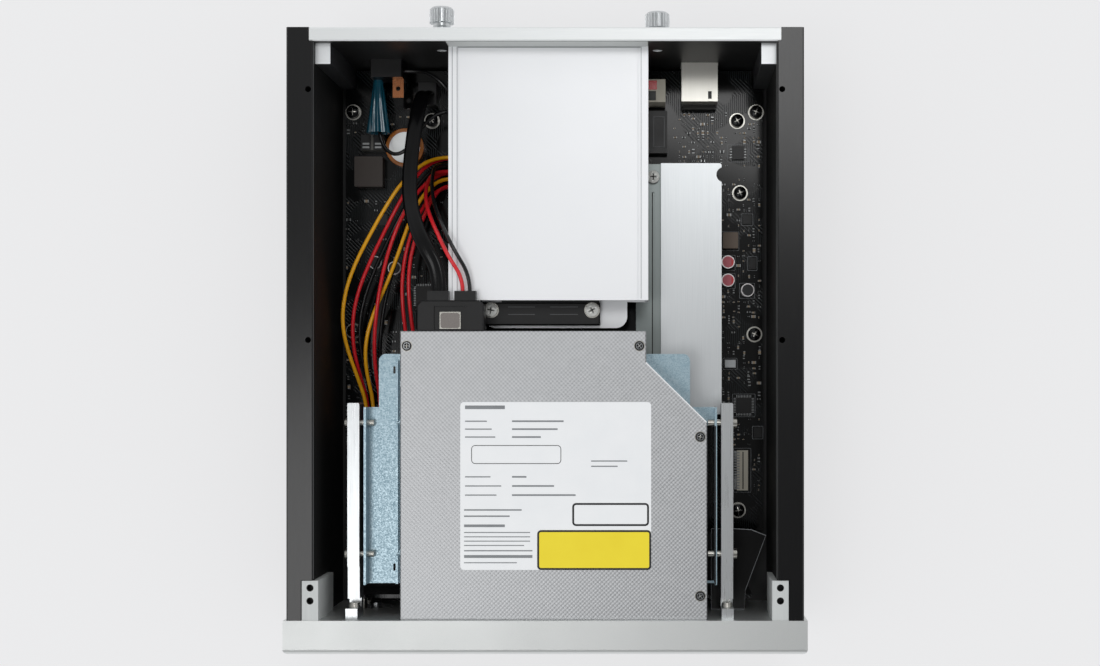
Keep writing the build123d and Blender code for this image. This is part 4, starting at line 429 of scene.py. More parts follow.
# Rose ink on the capacitor tops: flat and even.
ROSE_INK = Finish("rose_ink", "red_insulation", "#d8707c", "#c65a68", Pattern.MOULDED, 0.0, 0.5, 0.05, 0.3, 0.004)
# Black polyester film: thin, dark and shiny.
BLACK_FILM = Finish(
    "black_polyester_film", "black_moulding", "#040405", "#080809", Pattern.DRAWN, 0.0, 0.3, 0.05, 1.5, 0.02, ior=1.3
)
# Black nickel on the board's and the drive cover's screws, with bright plate inside the driver's cross as a painted
# highlight.
BLACK_NICKEL = Finish(
    "black_nickel", "plated_steel", "#2a2b2c", "#353637", Pattern.DRAWN, 1.0, 0.2, 0.05, 0.3, 0.004
)
# Bright nickel on the heads of the larger screws: pale, with soft lights.
NICKEL_HEAD = Finish(
    "nickel_plated_heads", "plated_steel", "#f6f6f2", "#e4e4df", Pattern.DRAWN, 0.3, 0.26, 0.05, 0.3, 0.004
)
# Painted shade, near black: on the walls of threaded holes, in a groove and a slot, on a flange's top and inside a
# driver's cross.
PAINTED_SHADE = Finish(
    "painted_shade", "black_moulding", "#0a0a0b", "#111112", Pattern.MOULDED, 0.0, 0.55, 0.08, 0.2, 0.004
)
# Tumbled spring steel of the latch: warm grey with a fine mottle.
SPRING_STEEL = Finish(
    "tumbled_spring_steel", "plated_steel", "#8b8581", "#5e5a58", Pattern.BLASTED, 0.7, 0.4, 0.1, 0.5, 0.02
)
# Painted highlight: a grey line along sharp edges of black anodising and of black mouldings.
GREY_EDGE_HIGHLIGHT = Finish(
    "painted_grey_edge_highlight", "black_side", "#5c5d5e", "#48494a", Pattern.BRUSHED, 0.4, 0.4, 0.06, 0.4, 0.002
)
# Painted highlight along the cut edge of the pressed cover: a bright line.
BRIGHT_EDGE_HIGHLIGHT = Finish(
    "painted_bright_edge_highlight", "drive_sheet", "#f2f3f4", "#e4e6e7", Pattern.DRAWN, 0.3, 0.4, 0.05, 0.4, 0.004
)


def make_piece(
    name: str, mesh: Mesh, finish: Finish, body: str = "case", smooth: bool = False
) -> bpy.types.Object:
    """Puts a worked-out surface into a mesh, dresses it and fixes it to a body.

    Args:
        name: the piece's name.
        mesh: vertices in millimetres and faces.
        finish: the finish that it gets.
        body: the body that it rides on.
        smooth: whether its faces are shaded as one curved skin.

    Returns:
        The new object.
    """
    vertices, faces = mesh
    data = bpy.data.meshes.new(name)
    data.from_pydata((np.asarray(vertices) * MM).tolist(), [], faces)
    data.polygons.foreach_set("use_smooth", np.full(len(data.polygons), smooth))
    if smooth:
        data.set_sharp_from_angle(angle=SHARP_ANGLE)
    data.update()
    piece = bpy.data.objects.new(name, data)
    bpy.context.scene.collection.objects.link(piece)
    data.materials.append(finish.material())
    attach(piece, body)
    LOG.info("%s: %d faces on %s", name, len(faces), body)
    return piece


def rows(x: Any, y: Any, z: Any) -> np.ndarray:
    """Gives one row of X, Y and Z a point; a single number serves for all the points."""
    return np.stack(np.broadcast_arrays(x, y, z), axis=-1)


def at_height(plan: Sequence[Spot] | np.ndarray, height: float) -> np.ndarray:
    """Gives one row of X, Y and Z for each point of a plan, all at one height."""
    return rows(*np.array(plan).T, height)


def turn_angles(steps: int) -> np.ndarray:
    """Even angles round a full turn."""
    return np.linspace(0, 2 * np.pi, steps, endpoint=False)


def band(inner: float, outer: float, low: float, high: float) -> list[Spot]:
    """Section of a flat ring between two radii and two heights, for turned_rings."""
    return [(inner, low), (outer, low), (outer, high), (inner, high)]


def ring_faces(rings: int, sides: int, closed: bool = False) -> np.ndarray:
    """Four-sided faces between rings of points that are numbered ring by ring.

    Args:
        rings: number of rings.
        sides: points on each ring.
        closed: whether the last ring joins the first.

    Returns:
        One row of four vertex numbers a face.
    """
    ring, side = np.meshgrid(np.arange(rings if closed else rings - 1), np.arange(sides), indexing="ij")
    ahead, beyond = (ring + 1) % rings, (side + 1) % sides
    corners = [ring * sides + side, ring * sides + beyond, ahead * sides + beyond, ahead * sides + side]
    return np.stack(corners, axis=2).reshape(-1, 4)


def repeat_faces(faces: np.ndarray, count: int, step: int) -> list[list[int]]:
    """Repeats one shape's faces, each time with its vertex numbers moved on by a step."""
    return (faces[None] + step * np.arange(count)[:, None, None]).reshape(-1, faces.shape[1]).tolist()


def eased_blocks(low: Sequence | np.ndarray, high: Sequence | np.ndarray, ease: float) -> Mesh:
    """Blocks with eased top edges: three square rings, the last drawn in by the ease.

    Args:
        low: lowest corners, one row a block.
        high: highest corners, one row a block.
        ease: width of the eased edge.

    Returns:
        Vertices and faces of all the blocks.
    """
    low, high = np.atleast_2d(low).astype(float), np.atleast_2d(high).astype(float)
    corners = np.array([[0, 0], [1, 0], [1, 1], [0, 1]])
    plan = low[:, None, :2] + corners[None] * (high - low)[:, None, :2]
    inner = plan + ease * (1 - 2 * corners[None])
    levels = [(plan, low[:, 2]), (plan, high[:, 2] - ease), (inner, high[:, 2])]
    rings = [np.concatenate([ring, np.repeat(z[:, None, None], 4, 1)], axis=2) for ring, z in levels]
    vertices = np.concatenate(rings, axis=1).reshape(-1, 3)
    faces = np.concatenate([ring_faces(3, 4), [[3, 2, 1, 0]], [[8, 9, 10, 11]]])
    return vertices, repeat_faces(faces, len(low), 12)


def turned_rings(centres: Sequence | np.ndarray, profile: Sequence[Spot] | np.ndarray, sides: int = 40) -> Mesh:
    """Turns a closed outline of radius and height about an upright axis at each centre.

    Args:
        centres: one row of X, Y, Z a ring.
        profile: outline points of radius and height, anticlockwise with radius to the right.
        sides: number of steps round.

    Returns:
        Vertices and faces of all the rings.
    """
    centres = np.atleast_2d(centres).astype(float)
    angle = turn_angles(sides)[:, None]
    radius, height = np.asarray(profile, float).T
    ring = rows(np.cos(angle) * radius, np.sin(angle) * radius, height).reshape(-1, 3)
    vertices = (centres[:, None] + ring[None]).reshape(-1, 3)
    faces = ring_faces(sides, len(radius), closed=True)[:, [0, 3, 2, 1]]
    return vertices, repeat_faces(faces, len(centres), len(ring))


def rounded_outline(low: Sequence[float], high: Sequence[float], radius: float, steps: int = 6) -> np.ndarray:
    """Rectangle with round corners: a quarter circle carried to each corner in turn.

    Args:
        low: lowest X and Y.
        high: highest X and Y.
        radius: corner radius.
        steps: points on each corner.

    Returns:
        Outline points, anticlockwise.
    """
    quarter = np.linspace(0, np.pi / 2, steps)
    angle = (quarter[None] + np.arange(4)[:, None] * np.pi / 2).ravel()
    right = np.array([1, 0, 0, 1]).repeat(steps)
    upper = np.array([1, 1, 0, 0]).repeat(steps)
    centre_x = np.where(right, high[0] - radius, low[0] + radius)
    centre_y = np.where(upper, high[1] - radius, low[1] + radius)
    return np.stack([centre_x + radius * np.cos(angle), centre_y + radius * np.sin(angle)], axis=1)


def thin_plate(outline: np.ndarray, low: float, high: float) -> Mesh:
    """Flat plate of an outline between two heights: two copies of it joined all round.

    Args:
        outline: plan points, anticlockwise.
        low: height of the underside.
        high: height of the top.

    Returns:
        Vertices and faces.
    """
    turn = np.arange(len(outline))
    vertices = np.concatenate([at_height(outline, low), at_height(outline, high)])
    sides = ring_faces(2, len(outline)).tolist()
    return vertices, [turn[::-1].tolist(), (turn + len(outline)).tolist(), *sides]


def frame_plate(outer: np.ndarray, inner: np.ndarray, low: float, high: float) -> Mesh:
    """Flat frame between an outer and an inner outline with as many points.

    Args:
        outer: outer plan points, anticlockwise.
        inner: inner plan points, anticlockwise.
        low: height of the underside.
        high: height of the top.

    Returns:
        Vertices and faces.
    """
    section = ((inner, low), (outer, low), (outer, high), (inner, high))
    vertices = np.concatenate([at_height(plan, z) for plan, z in section])
    return vertices, ring_faces(len(section), len(outer), closed=True)[:, ::-1].tolist()


def join(meshes: Sequence[Mesh]) -> Mesh:
    """Puts several shapes into one mesh."""
    starts = np.cumsum([0] + [len(vertices) for vertices, _ in meshes])
    faces = [[index + start for index in face] for (_, part), start in zip(meshes, starts) for face in part]
    return np.concatenate([vertices for vertices, _ in meshes]), faces


class WireColour(Enum):
    """Colours of the wires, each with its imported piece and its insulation."""

    YELLOW = ("yellow_wires", YELLOW_VINYL)
    RED = ("red_wires", RED_VINYL)
    BLACK = ("black_wires", BLACK_VINYL)


@dataclass
class WireLoom:
    """Insulated wires and the flat data cable, each along its route from end to end."""

    diameter: float = 1.7
    cable_width: float = 6.5
    cable_thickness: float = 1.8
    curve_order: int = 3
    curve_steps: int = 8
    section_steps: int = 3
    oval_steps: int = 56
    oval_powers: tuple[float, float] = (0.5, 0.6)
    rib_floor: float = 0.55
    rib_rise: float = 0.45
    routes: dict[WireColour, list[tuple[float, list[Point]]]] = field(
        default_factory=lambda: {
            WireColour.YELLOW: [
                (146.2, [(-43.97, 77.6, 21.6), (-50.0, 77.6, 21.6), (-57.6, 74.0, 27.6), (-66.0, 64.5, 34.0),
                         (-73.0, 52.5, 37.0), (-79.5, 40.5, 37.8), (-86.0, 28.0, 37.5), (-90.6, 15.0, 36.5),
                         (-92.0, 2.0, 34.5), (-90.0, -10.0, 31.0), (-86.5, -21.5, 26.5), (-83.3, -33.5, 21.8),
                         (-83.3, -42.22, 21.8)]),
                (127.7, [(-43.97, 68.0, 21.6), (-49.4, 68.0, 21.6), (-55.2, 62.8, 27.0), (-60.5, 53.0, 32.6),
                         (-64.6, 41.5, 33.4), (-68.6, 30.0, 33.4), (-73.2, 18.5, 33.2), (-78.6, 7.0, 32.8),
                         (-82.4, -5.5, 31.2), (-82.8, -18.0, 27.6), (-80.3, -32.0, 21.8), (-80.3, -42.22, 21.8)]),
            ],
            WireColour.RED: [
                (142.4, [(-43.97, 77.6, 18.2), (-50.0, 77.6, 18.2), (-57.4, 73.0, 24.0), (-64.0, 62.5, 30.0),
                         (-69.5, 51.5, 32.6), (-75.0, 40.0, 33.4), (-80.5, 28.5, 33.4), (-85.4, 16.5, 32.6),
                         (-88.2, 4.0, 31.0), (-88.2, -9.0, 28.0), (-86.0, -21.0, 23.4), (-83.3, -33.0, 18.2),
                         (-83.3, -42.22, 18.2)]),
                (132.9, [(-43.97, 71.2, 18.2), (-49.0, 71.2, 18.2), (-55.8, 66.4, 24.4), (-62.4, 57.0, 31.2),
                         (-67.4, 45.5, 35.4), (-71.4, 33.5, 36.8), (-74.4, 21.0, 36.8), (-76.6, 8.5, 35.6),
                         (-78.2, -4.5, 32.6), (-78.6, -17.5, 28.0), (-77.3, -31.5, 21.8), (-77.3, -42.22, 21.8)]),
                (116.0, [(-43.97, 64.8, 18.2), (-49.4, 64.8, 18.2), (-54.8, 59.4, 24.6), (-58.8, 50.5, 31.6),
                         (-62.0, 40.5, 35.2), (-64.4, 29.5, 36.6), (-65.4, 18.0, 36.4), (-65.0, 6.5, 34.6),
                         (-64.0, -5.0, 31.2), (-63.4, -15.5, 26.0), (-63.8, -26.0, 20.2), (-63.8, -34.08, 20.2)]),
                (115.7, [(-43.97, 64.8, 21.6), (-49.0, 64.8, 21.6), (-53.2, 58.2, 28.4), (-55.8, 49.5, 35.4),
                         (-58.8, 40.5, 38.8), (-61.2, 30.0, 40.2), (-62.0, 18.5, 39.8), (-61.4, 7.0, 37.6),
                         (-60.4, -4.5, 33.4), (-59.8, -15.0, 27.4), (-60.2, -25.5, 20.2), (-60.2, -34.08, 20.2)]),
                (88.1, [(-43.97, 71.2, 21.6), (-49.2, 71.2, 21.6), (-53.4, 69.4, 27.2), (-54.6, 63.4, 36.0),
                        (-53.6, 55.6, 46.4), (-50.2, 47.4, 56.2), (-45.6, 38.6, 63.8), (-40.8, 29.2, 67.0),
                        (-35.2, 20.5, 64.4), (-35.2, 14.9, 64.4)]),
            ],
            WireColour.BLACK: [
                (135.9, [(-43.97, 74.4, 18.2), (-50.0, 74.4, 18.2), (-56.8, 69.6, 22.2), (-62.6, 60.0, 26.6),
                         (-68.0, 49.0, 29.2), (-73.4, 37.5, 30.2), (-78.6, 26.0, 30.2), (-83.2, 14.0, 29.4),
                         (-85.8, 1.5, 27.8), (-85.4, -11.0, 25.0), (-83.0, -22.5, 21.0), (-80.3, -33.0, 18.2),
                         (-80.3, -42.22, 18.2)]),
                (126.0, [(-43.97, 68.0, 18.2), (-49.2, 68.0, 18.2), (-55.2, 63.0, 23.4), (-60.4, 53.5, 28.4),
                         (-64.8, 43.0, 30.4), (-68.6, 31.5, 30.6), (-72.2, 19.5, 30.4), (-75.0, 7.0, 29.6),
                         (-76.6, -6.0, 27.6), (-77.0, -19.0, 23.4), (-77.3, -31.5, 18.2), (-77.3, -42.22, 18.2)]),
                (91.4, [(-43.97, 74.4, 21.6), (-48.8, 74.4, 21.6), (-52.2, 72.8, 27.4), (-52.0, 66.6, 37.0),
                        (-50.6, 58.6, 47.4), (-47.6, 50.4, 57.2), (-43.4, 41.6, 65.0), (-38.2, 31.8, 68.4),
                        (-32.2, 21.5, 64.4), (-32.2, 14.9, 64.4)]),
                (35.5, [(-65.3, 114.2, 31.0), (-60.0, 114.2, 31.0), (-54.4, 113.0, 33.2), (-49.4, 109.6, 34.4),
                        (-45.2, 105.0, 33.2), (-42.2, 100.2, 29.5), (-42.2, 100.2, 24.0)]),
                (77.0, [(-77.2, 110.6, 28.0), (-77.2, 99.0, 28.0), (-76.9, 88.5, 28.3), (-74.6, 80.6, 28.9),
                        (-69.6, 77.0, 29.8), (-63.8, 79.4, 30.8), (-60.0, 85.2, 31.6), (-56.0, 91.0, 32.0),
                        (-50.8, 94.9, 32.2), (-46.2, 96.2, 32.0), (-42.2, 96.5, 29.4), (-42.2, 96.5, 24.0)]),
            ],
        }
    )
    cable_length: float = 108.8
    cable_route: tuple[Point, ...] = (
        (-56.0, 105.6, 24.0), (-56.0, 105.6, 32.0), (-57.2, 98.5, 39.0), (-58.6, 87.5, 43.0), (-59.6, 76.5, 45.6),
        (-60.0, 65.5, 49.0), (-59.2, 55.0, 53.5), (-56.4, 45.0, 59.0), (-52.0, 35.0, 63.4), (-45.3, 24.0, 64.4),
        (-45.3, 14.9, 64.4),
    )

    def _spline(self, name: str, route: Sequence[Point], radius: float) -> bpy.types.Object:
        """One smooth NURBS line with the route's points as its control points.

        Args:
            name: the curve's name.
            route: control points.
            radius: radius of the round section, or 0 for a bare line.

        Returns:
            The curve's object.
        """
        curve = bpy.data.curves.new(name, "CURVE")
        curve.dimensions = "3D"
        spline = curve.splines.new("NURBS")
        spline.points.add(len(route) - 1)
        spline.points.foreach_set("co", np.c_[np.array(route) * MM, np.ones(len(route))].ravel())
        spline.order_u = self.curve_order
        spline.use_endpoint_u = True
        spline.resolution_u = self.curve_steps
        curve.bevel_depth = radius * MM
        curve.bevel_resolution = self.section_steps
        curve.use_fill_caps = True
        made = bpy.data.objects.new(name, curve)
        bpy.context.scene.collection.objects.link(made)
        return made

    def round_wires(self) -> None:
        for colour, wires in self.routes.items():
            node, finish = colour.value
            for number, (length, route) in enumerate(wires, 1):
                wire = self._spline(f"{node[:-1]}_{number}", route, self.diameter / 2)
                wire.data.materials.append(finish.material())
                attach(wire, "case")
                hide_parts(node)
                LOG.info("%s: %.0f mm", wire.name, length)

    def flat_cable(self) -> None:
        """Carries a flat oval along the data cable's smooth line, its width kept level.

        At each point the width runs along X less its share along the line, and the thickness
        runs along the cross product of the line and the width. The oval thins at its middle
        and edges by the sine of its width, which leaves a rib over each pair of cores.
        """
        guide = self._spline("data_cable_line", self.cable_route, 0)
        bpy.context.view_layer.update()
        line = bpy.data.meshes.new_from_object(guide.evaluated_get(bpy.context.evaluated_depsgraph_get()))
        path = np.empty(len(line.vertices) * 3)
        line.vertices.foreach_get("co", path)
        path = path.reshape(-1, 3) / MM
        bpy.data.meshes.remove(line)
        bpy.data.objects.remove(guide)
        ahead = np.gradient(path, axis=0)
        ahead /= np.linalg.norm(ahead, axis=1, keepdims=True)
        width = np.array([1.0, 0, 0]) - ahead[:, :1] * ahead
        width /= np.linalg.norm(width, axis=1, keepdims=True)
        thick = np.cross(ahead, width)
        angle = turn_angles(self.oval_steps)
        across, upright = np.cos(angle), np.sin(angle)
        power_x, power_y = self.oval_powers
        oval_x = self.cable_width / 2 * np.sign(across) * np.abs(across) ** power_x
        oval_y = self.cable_thickness / 2 * np.sign(upright) * np.abs(upright) ** power_y
        oval_y *= self.rib_floor + self.rib_rise * np.abs(np.sin(2 * np.pi * oval_x / self.cable_width))
        skin = path[:, None] + oval_x[None, :, None] * width[:, None] + oval_y[None, :, None] * thick[:, None]
        count, around = skin.shape[:2]
        sides = ring_faces(count, around).tolist()
        caps = [np.arange(around)[::-1].tolist(), (np.arange(around) + (count - 1) * around).tolist()]
        cable = make_piece("data_cable_flat", (skin.reshape(-1, 3), sides + caps), CABLE_VINYL, smooth=True)
        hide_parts("data_cable")

    def build(self) -> None:
        """Builds the wires and the cable."""
        self.round_wires()
        self.flat_cable()


@dataclass
class Studio:
    """Pale floor, soft lamps and the camera that looks straight down."""

    camera_place: Point = (45.6, -24.5, 706.0)
    lens: float = 50.0
    image_width: float = 1100.0
    axis_offset: tuple[float, float] = (105.0, 52.0)
    floor_reach: float = 5000.0
    floor_gap: float = 0.05
    sensor_width: float = 36.0
    floor_colour: str = "#e9e9ea"
    glow_colour: str = "#f1f1f2"
    glow_share: float = 0.7
    surround_colour: str = "#f6f7f8"
    surround_light: float = 0.8
    wall_level: float = 0.9
    wall_span: tuple[float, float] = (0.3, 0.75)
    ceiling_levels: tuple[float, float] = (0.16, 0.46)
    ceiling_span: tuple[float, float] = (-0.1, 0.2)
    lamps: tuple[tuple[str, Point, float, float], ...] = (
        ("key_left_front", (-0.46, -0.36, 1.7), 0.62, 3.3),
        ("fill_right_rear", (0.2, 0.56, 1.7), 0.5, 2.7),
    )
    lamp_aim: Point = (0, 0, 0.05)

    def camera(self) -> None:
        """Places the camera over the case, its axis off the picture's middle as the framing needs."""
        data = bpy.data.cameras.new("overhead")
        data.lens = self.lens
        data.sensor_width = self.sensor_width
        data.shift_x = -self.axis_offset[0] / self.image_width
        data.shift_y = self.axis_offset[1] / self.image_width
        camera = bpy.data.objects.new("overhead", data)
        camera.location = [value * MM for value in self.camera_place]
        bpy.context.scene.collection.objects.link(camera)
        bpy.context.scene.camera = camera

    def _seen(self, tree: Tree, *kinds: str) -> Socket:
        """Gives 1 for light rays of the named kinds and 0 for the others."""
        rays = add(tree, "LightPath")
        total, *others = (rays.outputs[f"Is {kind} Ray"] for kind in kinds)
        for other in others:
            total = calc(tree, "ADD", total, other, clamp=True)
        return total

    def floor(self) -> None:
        """Lays a pale floor that shows a faint shadow."""
        reach = self.floor_reach
        plan = np.array([[-reach, -reach], [reach, -reach], [reach, reach], [-reach, reach]])
        corners = at_height(plan, -self.floor_gap) * MM
        data = bpy.data.meshes.new("floor")
        data.from_pydata(corners.tolist(), [], [[0, 1, 2, 3]])
        floor = bpy.data.objects.new("floor", data)
        bpy.context.scene.collection.objects.link(floor)
        material = bpy.data.materials.new("pale_floor")
        material.use_nodes = True
        tree = material.node_tree
        tree.nodes.clear()
        lit = add(tree, "BsdfDiffuse", {"Color": linear(self.floor_colour)}).outputs[0]
        glow = add(tree, "Emission", {"Color": linear(self.glow_colour)}).outputs[0]
        share = calc(tree, "MULTIPLY", self._seen(tree, "Camera", "Glossy"), self.glow_share)
        mixed = add(tree, "MixShader", {0: share, 1: lit, 2: glow}).outputs[0]
        add(tree, "OutputMaterial", {"Surface": mixed})
        data.materials.append(material)

    def lamp(self, name: str, place: Point, size: float, power: float) -> None:
        """Hangs one square soft lamp that faces lamp_aim.

        Args:
            name: the lamp's name.
            place: where it hangs, in metres.
            size: side of its square, in metres.
            power: its power in watts.
        """
        data = bpy.data.lights.new(name, "AREA")
        data.size = size
        data.energy = power
        lamp = bpy.data.objects.new(name, data)
        lamp.location = place
        away = np.array(place) - np.array(self.lamp_aim)
        lamp.rotation_euler = (
            math.atan2(math.hypot(away[0], away[1]), away[2]),
            0.0,
            math.atan2(away[0], -away[1]),
        )
        bpy.context.scene.collection.objects.link(lamp)

    def world(self) -> None:
        """Sets a pale surround.

        To the eye and in reflections it is a bright wall under a ceiling that dims to the front.
        """
        world = bpy.data.worlds.new("studio")
        bpy.context.scene.world = world
        world.use_nodes = True
        tree = world.node_tree
        tree.nodes.clear()
        clear = self._seen(tree, "Camera", "Glossy", "Transmission")
        way = add(tree, "SeparateXYZ", {0: add(tree, "TexCoord").outputs["Generated"]})
        ceiling = ramp(tree, way.outputs["Y"], self.ceiling_span, self.ceiling_levels)
        wall = ramp(tree, way.outputs["Z"], self.wall_span, (self.wall_level, ceiling))
        strength = add(tree, "Mix", {"Factor": clear, "A": self.surround_light, "B": wall}).outputs["Result"]
        ground = add(tree, "Background", {"Color": linear(self.surround_colour), "Strength": strength})
        add(tree, "OutputWorld", {"Surface": ground.outputs[0]})

    def build(self) -> None:
        """Builds floor, light and camera."""
        self.camera()
        self.floor()
        self.world()
        for lamp in self.lamps:
            self.lamp(*lamp)
        bpy.context.scene.view_settings.view_transform = "Standard"


@dataclass
class CaseDress:
    """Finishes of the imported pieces, each by its real material."""

    wearers: dict[Finish, tuple[str, ...]] = field(
        default_factory=lambda: {
            SATIN_FRONT: ("front_panel",),
            BLACK_SIDE: ("left_side_panel", "right_side_panel"),
            SILVER_REAR: ("rear_panel", "caddy_fascia"),
            BLACK_FLOOR: ("bottom_plate",),
            BRIGHT_PLATE: ("case_screws", "sled_rods", "lead_screw", "cradle_screws", "standoffs", "plug_clip"),
            MILLED_BAR: (
                "feet", "left_cradle_bar", "right_cradle_bar", "left_thumbscrew", "right_thumbscrew", "power_button",
            ),
            RUBBER: ("foot_pads",),
            SAWN_POST: ("left_rear_post", "right_rear_post"),
            TUMBLED_BRACKET: ("left_front_bracket", "right_front_bracket"),
            DRIVE_SHEET: ("drive_bottom_shell", "drive_top_cover"),
            PLATED_SCREW: ("drive_cover_screws", "board_screws"),
            TRAY_STYRENE: ("disc_tray",),
            PAINTED_TRIM: ("tray_bezel", "eject_button"),
            ZINC_SHEET: ("traverse_frame", "drive_cradle", "caddy_tray"),
            BLACK_NYLON: (
                "spindle_hub", "backplane", "ethernet_core", "power_inlet", "board_chips", "black_connectors",
                "sata_plug",
            ),
            CAST_CASE: ("laser_sled", "storage_drive"),
            BAY_SHEET: ("bay_cage", "bay_base"),
            SOLDER_MASK: ("main_board", "front_board"),
            TINNED_CAN: ("ethernet_shield",),
            BARE_COPPER: ("inlet_tab",),
            TEAL_VINYL: ("inlet_sleeve",),
            IRON_POWDER: ("board_chokes",),
            IVORY_NYLON: ("white_sockets",),
            DRAWN_CAN: ("board_capacitors",),
            CELL_FACE: ("coin_cell",),
            ORANGE_FILM: ("cell_wrap",),
            BRUSHED_PLATE: ("heat_spreader",),
            YELLOW_VINYL: ("yellow_wires",),
            RED_VINYL: ("red_wires",),
            BLACK_VINYL: ("black_wires", "data_cable"),
        }
    )

    def build(self, nodes: Mapping[str, bpy.types.Object]) -> None:
        """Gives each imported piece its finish.

        Args:
            nodes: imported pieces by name.
        """
        finishes = {name: finish for finish, names in self.wearers.items() for name in names}
        for name, node in nodes.items():
            node.data.materials.clear()
            node.data.materials.append(finishes[name].material())
            LOG.info("%s: %s", name, finishes[name].name)


